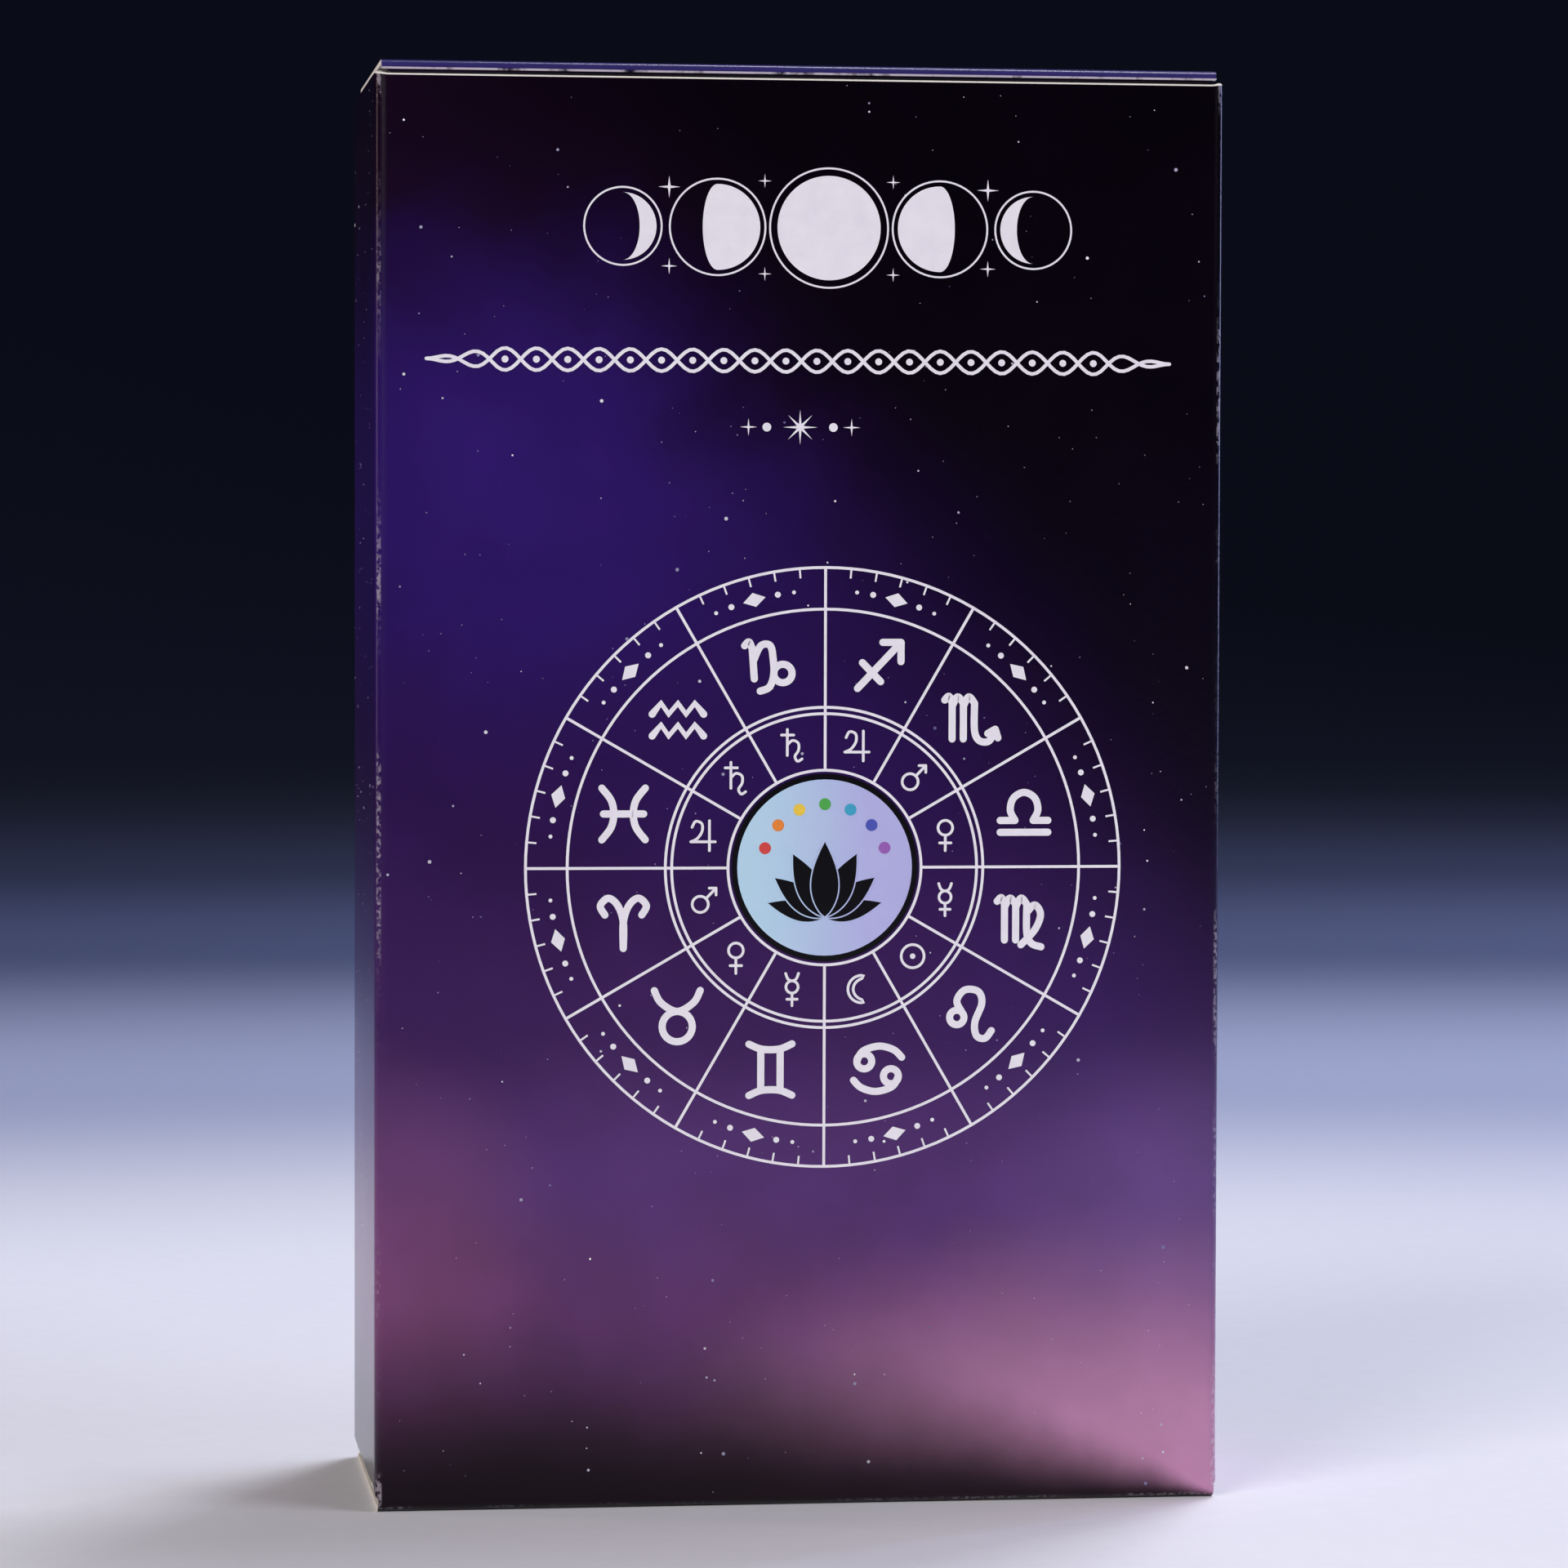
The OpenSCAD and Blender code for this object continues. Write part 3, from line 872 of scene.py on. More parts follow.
def dust_strip(side_name, side):
    angles = (0, 90) if side > 0 else (180, 90)
    section = rounded((side * (SIDE - HINGE), dust_root), HINGE, *angles, 14)
    strip = sheet("dust_fold_" + side_name, "y", section, lambda p: dust_width(SIDE - abs(p.x)),
                  joined=("start", "end"))
    return bend(strip)


fold_strips = [lid_strip, tuck_strip, dust_strip("left", -1), dust_strip("right", 1)]
print("bending folds:", [p.name for p in fold_strips])

# %% [markdown]
# ## How the print is laid on
# White and coloured inks lie on the board as films a few hundredths of a millimetre thick. An image
# texture would be the usual way, but thin solid shapes keep sharp edges at any distance. They are drawn
# flat in millimetres, with x to the right and y up as one faces the panel, and then laid on the puffed
# panel: every point goes to its place on the surface, and its own height becomes its height above the
# board. A Geometry Nodes tree is grown on a host object, read back as a plain mesh, and the host is
# thrown away.

# %% Geometry Nodes helpers
def geometry_tree(name, sizes):
    tree = bpy.data.node_groups.new(name, "GeometryNodeTree")
    tree.interface.new_socket("Geometry", in_out="INPUT", socket_type="NodeSocketGeometry")
    for label, kind in sizes.items():
        tree.interface.new_socket(label, in_out="INPUT", socket_type="NodeSocket" + kind)
    tree.interface.new_socket("Geometry", in_out="OUTPUT", socket_type="NodeSocketGeometry")
    return tree, add(tree, "NodeGroupInput").outputs


def close_tree(tree, parts, material):
    join = add(tree, "GeometryNodeJoinGeometry")
    for part in parts:
        tree.links.new(part, join.inputs[0])
    real = add(tree, "GeometryNodeRealizeInstances", {0: join.outputs[0]})
    done = add(tree, "GeometryNodeSetMaterial", {0: real.outputs[0], "Material": material})
    add(tree, "NodeGroupOutput", {0: done.outputs[0]})


def grow(name, tree, values, start=None):
    host = new_object(name, start or bpy.data.meshes.new(name))
    modifier = host.modifiers.new("nodes", "NODES")
    modifier.node_group = tree
    for item in tree.interface.items_tree:
        if item.in_out == "INPUT" and item.name in values:
            modifier[item.identifier] = values[item.name]
    depsgraph = bpy.context.evaluated_depsgraph_get()
    mesh = bpy.data.meshes.new_from_object(host.evaluated_get(depsgraph))
    bpy.data.objects.remove(host)
    return mesh


print("trees so far:", len(bpy.data.node_groups))

# %% Laying a drawing on a panel
PANEL_BODY = {"front": "carton", "back": "carton", "left": "carton", "right": "carton", "lid": "top_lid"}
lid_middle = (BACK - HINGE + tuck_fold[0]) / 2
lid_half = (BACK - HINGE - tuck_fold[0]) / 2


def panel_place(face, across, up, lift):
    if face == "lid":
        s, t = across / lid_high.x, (up - lid_middle) / lid_half
        return Vector((across, up, TOP + LID_CROWN * (1 - s * s) * (1 - t * t) + lift))
    rise = puff(face, across, up) + lift
    if face == "front":
        return Vector((across, FRONT - rise, up))
    if face == "back":
        return Vector((-across, BACK + rise, up))
    if face == "left":
        return Vector((-SIDE - rise, -across, up))
    return Vector((SIDE + rise, across, up))


def lay_print(name, mesh, face="front"):
    for vertex in mesh.vertices:
        vertex.co = panel_place(face, *vertex.co) * MM
    mesh.shade_flat()
    mesh.name = name
    piece = new_object(name, mesh)
    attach(piece, PANEL_BODY[face])


print("middle of the front, mm:", [round(v, 2) for v in panel_place("front", 0, 62, 0)])

# %% [markdown]
# ## Cards
# Seventy-eight cards stand in the carton, squared up but loose. Modelling each by hand would be dull work
# for a row of equal sheets, so one Geometry Nodes tree draws a card with round corners, gives it its
# thickness, and sets copies on a line of points, one pitch apart. A small seeded sway keeps the stack
# from looking machined, and every card carries its own shade number for the edge material.

# %% Helpers for the card materials
CARD_W = first_high.x - first_low.x
CARD_H = first_high.z - first_low.z
CARD_T = first_high.y - first_low.y
CARD_MIDDLE = (first_high.z + first_low.z) / 2
LINE_BLUR = 0.06


def card_frame(tree, place):
    split = add(tree, "ShaderNodeSeparateXYZ", {0: place}).outputs
    up = calc(tree, "SUBTRACT", split[2], CARD_MIDDLE)
    to_side = calc(tree, "SUBTRACT", CARD_W / 2, calc(tree, "ABSOLUTE", split[0]))
    to_end = calc(tree, "SUBTRACT", CARD_H / 2, calc(tree, "ABSOLUTE", up))
    return split[0], up, calc(tree, "MINIMUM", to_side, to_end)


def between(tree, value, low, high):
    return calc(tree, "MULTIPLY", soft_step(tree, value, low - LINE_BLUR, low + LINE_BLUR),
                soft_step(tree, value, high + LINE_BLUR, high - LINE_BLUR))


def card_stock(name):
    material, tree, shader, place = new_material(name)
    weave = noise(tree, place, 2.2, 2.0, 0.5)
    bump = add(tree, "ShaderNodeBump", {"Strength": 0.08, "Distance": 0.0001, "Height": weave}).outputs[0]
    fill(tree, shader, {"Roughness": 0.42, "Normal": bump})
    return material, tree, shader, place


print("card:", round(CARD_W, 1), "x", round(CARD_H, 1), "x", round(CARD_T, 2), "mm")

# %% [markdown]
# ## Finishes of a card
# A card has a matt cut edge, a printed face and a printed back. The prints could be images, but a plain
# landscape and a lattice are quickly worked out from the place on the card. Margins and frame lines go by
# the distance to the card's nearest edge, so they keep an even width all round. The lattice is the same
# either way up, as the back of a card has to be.

# %% Cut edges of the cards
card_edge, edge_tree, edge_shader, edge_mm = new_material("card_edge")
edge_shade = add(edge_tree, "ShaderNodeAttribute", attribute_name="card_shade").outputs["Fac"]
edge_tone = mix_colours(edge_tree, edge_shade, "#cfc8ba", "#f3efe6")
edge_fibre = scaled(edge_tree, noise(edge_tree, edge_mm, 1.8, 5.0), 0.24, 0.86)
edge_tone = mix_colours(edge_tree, 1.0, edge_tone, edge_fibre, "MULTIPLY")
fill(edge_tree, edge_shader, {"Base Color": edge_tone, "Roughness": 0.8})
print("card edge has", len(edge_tree.nodes), "nodes")

# %% Faces of the cards
FACE_DUSK = (20.0, 58.0)
FACE_HORIZON = (-30.0, -34.0)
FACE_LINE = (3.4, 3.8)
FACE_BORDER = (4.3, 4.4)
CARD_WHITE = "#f4efe2"
card_face, face_tree, face_shader, face_mm = card_stock("card_face")
face_up, face_in = card_frame(face_tree, face_mm)[1:]
face_tone = mix_colours(face_tree, soft_step(face_tree, face_up, *FACE_DUSK), "#e8c98a", "#4a5fa8")
face_cloud = soft_step(face_tree, noise(face_tree, face_mm, 0.09, 5.0, 0.6), 0.5, 0.7)
face_tone = mix_colours(face_tree, calc(face_tree, "MULTIPLY", face_cloud, 0.6), face_tone, "#f2e9dc")
face_tone = mix_colours(face_tree, soft_step(face_tree, face_up, *FACE_HORIZON), face_tone, "#59744f")
face_tone = mix_colours(face_tree, soft_step(face_tree, face_in, *FACE_BORDER), CARD_WHITE, face_tone)
face_tone = mix_colours(face_tree, between(face_tree, face_in, *FACE_LINE), face_tone, "#3b2b57")
fill(face_tree, face_shader, {"Base Color": face_tone})
print("card face has", len(face_tree.nodes), "nodes")

# %% Backs of the cards
BACK_CELL = 5.0
LATTICE_LINE = (0.34, 0.22)
LOZENGE_EDGE = (BACK_CELL - 1.7, BACK_CELL - 1.5)
LATTICE_EDGE = (4.95, 5.05)
BACK_BORDER = (3.9, 4.0)
BACK_LINE = (4.6, 5.0)
BACK_GOLD = "#efe6c8"
card_back, back_tree, back_shader, back_mm = card_stock("card_back")
back_x, back_up, back_in = card_frame(back_tree, back_mm)
slant_a = calc(back_tree, "PINGPONG", calc(back_tree, "ADD", back_x, back_up), BACK_CELL)
slant_b = calc(back_tree, "PINGPONG", calc(back_tree, "SUBTRACT", back_x, back_up), BACK_CELL)
to_line = calc(back_tree, "MINIMUM", slant_a, slant_b)
in_frame = soft_step(back_tree, back_in, *LATTICE_EDGE)
lattice = calc(back_tree, "MULTIPLY", soft_step(back_tree, to_line, *LATTICE_LINE), in_frame)
lozenge = calc(back_tree, "MULTIPLY", soft_step(back_tree, to_line, *LOZENGE_EDGE), in_frame)
back_tone = mix_colours(back_tree, noise(back_tree, back_mm, 0.07, 5.0), "#1d1647", "#3a2673")
back_tone = mix_colours(back_tree, lattice, back_tone, "#b9a9dd")
back_tone = mix_colours(back_tree, lozenge, back_tone, BACK_GOLD)
back_tone = mix_colours(back_tree, soft_step(back_tree, back_in, *BACK_BORDER), CARD_WHITE, back_tone)
back_tone = mix_colours(back_tree, between(back_tree, back_in, *BACK_LINE), back_tone, BACK_GOLD)
fill(back_tree, back_shader, {"Base Color": back_tone})
print("card back has", len(back_tree.nodes), "nodes")

# %% Tree for a run of cards
CORNER_STEPS = 7
MERGE_GAP = 0.001
deck_tree, deck_in = geometry_tree("run_of_cards", {
    "Card width": "Float", "Card height": "Float", "Corner radius": "Float", "Thickness": "Float",
    "Pitch": "Float", "Count": "Int", "First card": "Float", "Foot": "Float", "Sway": "Float", "Seed": "Int",
    "Face": "Material", "Back": "Material", "Edge": "Material"})
outline = add(deck_tree, "GeometryNodeCurvePrimitiveQuadrilateral",
              {"Width": deck_in["Card width"], "Height": deck_in["Card height"]}).outputs[0]
outline = add(deck_tree, "GeometryNodeFilletCurve",
              {0: outline, "Count": CORNER_STEPS, "Radius": deck_in["Corner radius"]}, mode="POLY").outputs[0]
blank = add(deck_tree, "GeometryNodeFillCurve", {0: outline}, mode="NGONS").outputs[0]
body = add(deck_tree, "GeometryNodeExtrudeMesh", {0: blank, "Offset Scale": deck_in["Thickness"],
                                                  "Individual": False})
under = add(deck_tree, "GeometryNodeFlipFaces", {0: blank}).outputs[0]
both = add(deck_tree, "GeometryNodeJoinGeometry")
deck_tree.links.new(under, both.inputs[0])
deck_tree.links.new(body.outputs["Mesh"], both.inputs[0])
card = add(deck_tree, "GeometryNodeMergeByDistance", {0: both.outputs[0], "Distance": MERGE_GAP}).outputs[0]
half_card = calc(deck_tree, "MULTIPLY", deck_in["Card height"], 0.5)
card = add(deck_tree, "GeometryNodeTransform", {
    0: card, "Translation": add(deck_tree, "ShaderNodeCombineXYZ", {2: half_card}).outputs[0],
    "Rotation": (math.pi / 2, 0.0, 0.0)}).outputs[0]
row_start = add(deck_tree, "ShaderNodeCombineXYZ", {1: deck_in["First card"], 2: deck_in["Foot"]}).outputs[0]
row_step = add(deck_tree, "ShaderNodeCombineXYZ", {1: deck_in["Pitch"]}).outputs[0]
row = add(deck_tree, "GeometryNodeMeshLine", {"Count": deck_in["Count"], "Start Location": row_start,
                                              "Offset": row_step}).outputs[0]
left_sway = add(deck_tree, "ShaderNodeCombineXYZ",
                {0: calc(deck_tree, "MULTIPLY", deck_in["Sway"], -1.0)}).outputs[0]
right_sway = add(deck_tree, "ShaderNodeCombineXYZ", {0: deck_in["Sway"], 2: deck_in["Sway"]}).outputs[0]
sway = add(deck_tree, "FunctionNodeRandomValue", {0: left_sway, 1: right_sway, "Seed": deck_in["Seed"]},
           data_type="FLOAT_VECTOR").outputs[0]
row = add(deck_tree, "GeometryNodeSetPosition", {0: row, "Offset": sway}).outputs[0]
shade = add(deck_tree, "FunctionNodeRandomValue", {2: 0.0, 3: 1.0, "Seed": deck_in["Seed"]}).outputs[1]
row = add(deck_tree, "GeometryNodeStoreNamedAttribute",
          {0: row, "Name": "card_shade", "Value": shade}).outputs[0]
cards = add(deck_tree, "GeometryNodeInstanceOnPoints", {0: row, "Instance": card}).outputs[0]
cards = add(deck_tree, "GeometryNodeRealizeInstances", {0: cards}).outputs[0]
cards = add(deck_tree, "GeometryNodeSetMaterial", {0: cards, "Material": deck_in["Back"]}).outputs[0]
for side, material in (("Top", "Face"), ("Side", "Edge")):
    cards = add(deck_tree, "GeometryNodeSetMaterial", {0: cards, "Selection": body.outputs[side],
                                                       "Material": deck_in[material]}).outputs[0]
add(deck_tree, "NodeGroupOutput", {0: cards})
print("deck tree has", len(deck_tree.nodes), "nodes")

# %% Grow the deck in six runs
CARD_CORNER = 4.0
CARD_SWAY = 0.22
CARD_COUNT = 78
TRUMP_COUNT = 22
SUIT_COUNT = 14
SUIT_NODES = 5
FIRST_SEED = 11
deck_nodes = frame["record"]["behaviour"]["bodies"]["deck"]
card_pitch = (last_low.y - first_low.y) / (CARD_COUNT - 1)
RUNS = [("deck_first_card", 0, 1, deck_nodes[:1]),
        ("deck_trumps", 1, TRUMP_COUNT - 1, deck_nodes[1:TRUMP_COUNT])]
for k, suit in enumerate(("wands", "cups", "swords", "pentacles")):
    first_node = TRUMP_COUNT + SUIT_NODES * k
    RUNS.append(("deck_" + suit, TRUMP_COUNT + SUIT_COUNT * k, SUIT_COUNT,
                 deck_nodes[first_node:first_node + SUIT_NODES]))
for k, (run_name, place, count, nodes) in enumerate(RUNS):
    run_mesh = grow(run_name, deck_tree, {
        "Card width": CARD_W, "Card height": CARD_H, "Corner radius": CARD_CORNER, "Thickness": CARD_T,
        "Pitch": card_pitch, "Count": count, "First card": first_high.y + place * card_pitch,
        "Foot": first_low.z, "Sway": CARD_SWAY, "Seed": FIRST_SEED + k, "Face": card_face, "Back": card_back,
        "Edge": card_edge})
    run_mesh.transform(Matrix.Scale(MM, 4))
    run = new_object(run_name, run_mesh)
    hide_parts(*nodes)
    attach(run, "deck")
    low = min(v.co.y for v in run_mesh.vertices) / MM
    high = max(v.co.y for v in run_mesh.vertices) / MM
    print(run_name, count, "cards,", len(run_mesh.polygons), "faces, y", round(low, 2), "to", round(high, 2))

# %% [markdown]
# ## Inks
# The white ink lies under the same film as the sky, so it has the film's gloss, though it is a little
# duller. A little unevenness in its tone keeps large white shapes from looking cut out of plastic.

# %% Ink materials
INK_ROUGHNESS = (0.285, 0.36)


def ink_material(name, light, deep):
    material, tree, shader, place = new_material(name)
    patch = noise(tree, place, 0.5, 5.0, 0.6)
    fill(tree, shader, {"Base Color": mix_colours(tree, patch, deep, light),
                        "Roughness": spread(tree, patch, *INK_ROUGHNESS), **FILM_GLOSS})
    return material


white_ink = ink_material("white_ink", "#f6f4f8", "#e4e0ea")
black_ink = ink_material("black_ink", "#070509", "#020103")
print("inks:", white_ink.name, black_ink.name)

# %% [markdown]
# ## Printed lines
# Rings, signs and ornaments are all lines of one width. Curve to Mesh sweeps a flat nib along each path,
# which gives a closed ribbon, and a small round plate on each open end makes the end round, as a pen
# does. Each path lies a hair higher than the one before, so that no two films lie in exactly the same
# plane where lines cross.

# %% Tree for printed lines
INK_HEIGHT = 0.06
PATH_STEP = 0.0008
END_SIDES = 14
END_PROUD = 1.02
line_tree, line_in = geometry_tree("printed_line", {"Line width": "Float", "Ink height": "Float",
                                                    "Ink": "Material"})
paths = add(line_tree, "GeometryNodeMeshToCurve", {0: line_in["Geometry"]}).outputs[0]
paths = add(line_tree, "GeometryNodeSetCurveNormal", {0: paths}, mode="Z_UP").outputs[0]
nib = add(line_tree, "GeometryNodeCurvePrimitiveQuadrilateral",
          {"Width": line_in["Line width"], "Height": line_in["Ink height"]}).outputs[0]
ribbon = add(line_tree, "GeometryNodeCurveToMesh", {0: paths, 1: nib, "Fill Caps": True}).outputs[0]
at_end = add(line_tree, "GeometryNodeCurveEndpointSelection").outputs[0]
is_ring = add(line_tree, "GeometryNodeInputSplineCyclic").outputs[0]
open_end = add(line_tree, "FunctionNodeBooleanMath", {0: at_end, 1: is_ring}, operation="NIMPLY").outputs[0]
end_plate = add(line_tree, "GeometryNodeMeshCylinder", {
    "Vertices": END_SIDES, "Radius": calc(line_tree, "MULTIPLY", line_in["Line width"], 0.5),
    "Depth": calc(line_tree, "MULTIPLY", line_in["Ink height"], END_PROUD)}).outputs[0]
end_plates = add(line_tree, "GeometryNodeInstanceOnPoints",
                 {0: paths, "Selection": open_end, "Instance": end_plate}).outputs[0]
close_tree(line_tree, [ribbon, end_plates], line_in["Ink"])


def path_mesh(strokes, lift, step):
    points, edges = [], []
    for i, (stroke, closed) in enumerate(strokes):
        first = len(points)
        points += [(x, y, lift + i * step) for x, y in stroke]
        edges += [(k, k + 1) for k in range(first, len(points) - 1)]
        if closed:
            edges.append((len(points) - 1, first))
    mesh = bpy.data.meshes.new("paths")
    mesh.from_pydata(points, edges, [])
    return mesh


def print_lines(name, strokes, width, ink=None, lift=0.0, step=PATH_STEP, face="front"):
    sizes = {"Line width": width, "Ink height": INK_HEIGHT, "Ink": ink or white_ink}
    mesh = grow(name, line_tree, sizes, path_mesh(strokes, lift, step))
    depth = max(v.co.z for v in mesh.vertices)
    print(name, len(strokes), "lines,", len(mesh.polygons), "faces, height", round(depth, 3))
    lay_print(name, mesh, face)


print("line tree has", len(line_tree.nodes), "nodes")

# %% [markdown]
# ## Stars
# The printed sky is full of small stars. Scattering points over a sheet is a classic task for Geometry
# Nodes: Distribute Points on Faces places them, and a flat eight-sided plate goes on each. Most should be
# tiny and a few large, so a random number is raised to a high power before it becomes the size. The seed
# is fixed, so the sky is the same each time.

# %% Tree for a field of stars
STAR_SIDES = 8
STAR_RARITY = 6.0
GLOW_SEED_SHIFT = 100
star_tree, star_in = geometry_tree("star_field", {
    "Width": "Float", "Height": "Float", "Density": "Float", "Smallest": "Float", "Largest": "Float",
    "Ink height": "Float", "Seed": "Int", "Ink": "Material"})
field = add(star_tree, "GeometryNodeMeshGrid", {"Size X": star_in["Width"], "Size Y": star_in["Height"],
                                                "Vertices X": 2, "Vertices Y": 2}).outputs[0]
spots = add(star_tree, "GeometryNodeDistributePointsOnFaces",
            {0: field, "Density": star_in["Density"], "Seed": star_in["Seed"]}).outputs[0]
chance = add(star_tree, "FunctionNodeRandomValue", {2: 0.0, 3: 1.0, "Seed": star_in["Seed"]}).outputs[1]
rarity = calc(star_tree, "POWER", chance, STAR_RARITY)
span = calc(star_tree, "SUBTRACT", star_in["Largest"], star_in["Smallest"])
star_size = calc(star_tree, "ADD", calc(star_tree, "MULTIPLY", rarity, span), star_in["Smallest"])
glow_seed = calc(star_tree, "ADD", star_in["Seed"], GLOW_SEED_SHIFT)
glow = add(star_tree, "FunctionNodeRandomValue", {2: 0.0, 3: 1.0, "Seed": glow_seed}).outputs[1]
spots = add(star_tree, "GeometryNodeStoreNamedAttribute",
            {0: spots, "Name": "star_glow", "Value": glow}).outputs[0]
plate = add(star_tree, "GeometryNodeMeshCylinder",
            {"Vertices": STAR_SIDES, "Radius": 1.0, "Depth": star_in["Ink height"]}).outputs[0]
star_scale = add(star_tree, "ShaderNodeCombineXYZ", {0: star_size, 1: star_size, 2: 1.0}).outputs[0]
star_plates = add(star_tree, "GeometryNodeInstanceOnPoints",
                  {0: spots, "Instance": plate, "Scale": star_scale}).outputs[0]
close_tree(star_tree, [star_plates], star_in["Ink"])

star_ink, ink_tree, ink_shader = new_material("star_ink")[:3]
star_glow = add(ink_tree, "ShaderNodeAttribute", attribute_name="star_glow").outputs["Fac"]
star_tone = mix_colours(ink_tree, star_glow, "#5d5490", "#ffffff")
fill(ink_tree, ink_shader, {"Base Color": star_tone, "Roughness": 0.3})
print("star tree has", len(star_tree.nodes), "nodes")

# %% Stars on every printed face
STAR_LOOK = {"Density": 0.045, "Smallest": 0.03, "Largest": 0.17, "Ink height": 0.034, "Ink": star_ink}
STAR_MARGIN = 1
STAR_FIELDS = {
    "front": (2 * WIDE_HALF, front_high.z - front_low.z, (front_high.z + front_low.z) / 2, 3),
    "back": (2 * WIDE_HALF - STAR_MARGIN, lid_root - back_low.z, (lid_root + back_low.z) / 2, 4),
    "left": (2 * SIDE_HALF, dust_root - right_low.z, (dust_root + right_low.z) / 2, 5),
    "right": (2 * SIDE_HALF - STAR_MARGIN, dust_root - right_low.z, (dust_root + right_low.z) / 2, 6),
    "lid": (2 * lid_high.x - STAR_MARGIN, 2 * lid_half - STAR_MARGIN, lid_middle, 7),
}
for face, (width, height, middle, seed) in STAR_FIELDS.items():
    star_mesh = grow("stars", star_tree, {"Width": width, "Height": height, "Seed": seed, **STAR_LOOK})
    star_mesh.transform(Matrix.Translation((0.0, middle, 0.0)))
    lay_print("stars_" + face, star_mesh, face)
    print("stars on the", face + ":", len(star_mesh.vertices) // (2 * STAR_SIDES))

# %% [markdown]
# ## The dial
# The big wheel on the front is a rule drawn out: five rings, twelve spokes, and a band of degree ticks
# between the two outer rings. That is what Geometry Nodes are good at. One ribbon is made for a spoke and
# one for a tick, and each is set on as many points as the wheel needs, turned by its index.

# %% Tree for the dial
DIAL_CENTRE = (1.95, 55.6)
DIAL = {"Outer radius": 26.0, "Band radius": 22.4, "Ring radius": 13.9, "Ring gap": 0.55,
        "Inner radius": 8.45, "Line width": 0.24, "Tick width": 0.16, "Tick length": 0.85,
        "Ink height": INK_HEIGHT, "Sectors": 12, "Ticks": 72}
RING_STEPS = 144
RAY_CUTS = 5
SPOKE_LIFT = 0.002
TICK_LIFT = 0.004
dial_kinds = {label: "Int" if isinstance(size, int) else "Float" for label, size in DIAL.items()}
dial_tree, dial_in = geometry_tree("dial", {**dial_kinds, "Ink": "Material"})


def dial_nib(width):
    return add(dial_tree, "GeometryNodeCurvePrimitiveQuadrilateral",
               {"Width": width, "Height": dial_in["Ink height"]}).outputs[0]


def dial_ring(radius):
    path = add(dial_tree, "GeometryNodeCurvePrimitiveCircle",
               {"Resolution": RING_STEPS, "Radius": radius}).outputs[0]
    path = add(dial_tree, "GeometryNodeSetCurveNormal", {0: path}, mode="Z_UP").outputs[0]
    return add(dial_tree, "GeometryNodeCurveToMesh", {0: path, 1: dial_nib(dial_in["Line width"])}).outputs[0]


def dial_rays(count, start, end, width, raise_by):
    first = add(dial_tree, "ShaderNodeCombineXYZ", {0: start, 2: raise_by}).outputs[0]
    last = add(dial_tree, "ShaderNodeCombineXYZ", {0: end, 2: raise_by}).outputs[0]
    ray = add(dial_tree, "GeometryNodeCurvePrimitiveLine", {"Start": first, "End": last}).outputs[0]
    ray = add(dial_tree, "GeometryNodeSubdivideCurve", {0: ray, 1: RAY_CUTS}).outputs[0]
    ray = add(dial_tree, "GeometryNodeSetCurveNormal", {0: ray}, mode="Z_UP").outputs[0]
    ray = add(dial_tree, "GeometryNodeCurveToMesh",
              {0: ray, 1: dial_nib(width), "Fill Caps": True}).outputs[0]
    points = add(dial_tree, "GeometryNodeMeshLine", {"Count": count, "Offset": (0, 0, 0)}).outputs[0]
    index = add(dial_tree, "GeometryNodeInputIndex").outputs[0]
    angle = calc(dial_tree, "DIVIDE", calc(dial_tree, "MULTIPLY", index, math.tau), count)
    turned = add(dial_tree, "ShaderNodeCombineXYZ", {2: angle}).outputs[0]
    return add(dial_tree, "GeometryNodeInstanceOnPoints",
               {0: points, "Instance": ray, "Rotation": turned}).outputs[0]


inner_twin = calc(dial_tree, "SUBTRACT", dial_in["Ring radius"], dial_in["Ring gap"])
tick_start = calc(dial_tree, "SUBTRACT", dial_in["Outer radius"], dial_in["Tick length"])
dial_parts = [dial_ring(r) for r in (dial_in["Outer radius"], dial_in["Band radius"], dial_in["Ring radius"],
                                     inner_twin, dial_in["Inner radius"])]
dial_parts.append(dial_rays(dial_in["Sectors"], dial_in["Inner radius"], dial_in["Outer radius"],
                            dial_in["Line width"], SPOKE_LIFT))
dial_parts.append(dial_rays(dial_in["Ticks"], tick_start, dial_in["Outer radius"], dial_in["Tick width"],
                            TICK_LIFT))
close_tree(dial_tree, dial_parts, dial_in["Ink"])
dial_mesh = grow("dial", dial_tree, {**DIAL, "Ink": white_ink})
dial_mesh.transform(Matrix.Translation((*DIAL_CENTRE, 0.0)))
lay_print("dial_lines", dial_mesh)
print("dial faces:", len(dial_mesh.polygons))

# %% [markdown]
# ## Signs in the dial
# The twelve zodiac signs and the seven old planet signs are common marks, centuries old. Each is a
# handful of pen strokes in a square from -1 to 1, given by a few points. A smooth stroke runs through its
# points on cubic curves, a ring is a closed circle, and a bar is straight. The signs stand upright, and
# they run round the dial as in an old horoscope chart: the first sign below the left end of the level
# line, the others on from it anticlockwise.

# %% Pen strokes
def smooth(*points, steps=7):
    ends = [points[0], *points, points[-1]]
    path = []
    for p0, p1, p2, p3 in zip(ends, ends[1:], ends[2:], ends[3:]):
        for k in range(steps):
            t = k / steps
            path.append(tuple(0.5 * (2 * b + (c - a) * t + (2 * a - 5 * b + 4 * c - d) * t ** 2
                                     + (3 * b - a - 3 * c + d) * t ** 3)
                              for a, b, c, d in zip(p0, p1, p2, p3)))
    return path + [points[-1]], False


def ring(x, y, radius, steps=24):
    return circle(x, y, radius, steps), True


def bar(*points):
    return list(points), False


def mirrored(stroke, across=-1, up=1):
    points, closed = stroke
    return [(across * x, up * y) for x, y in points], closed


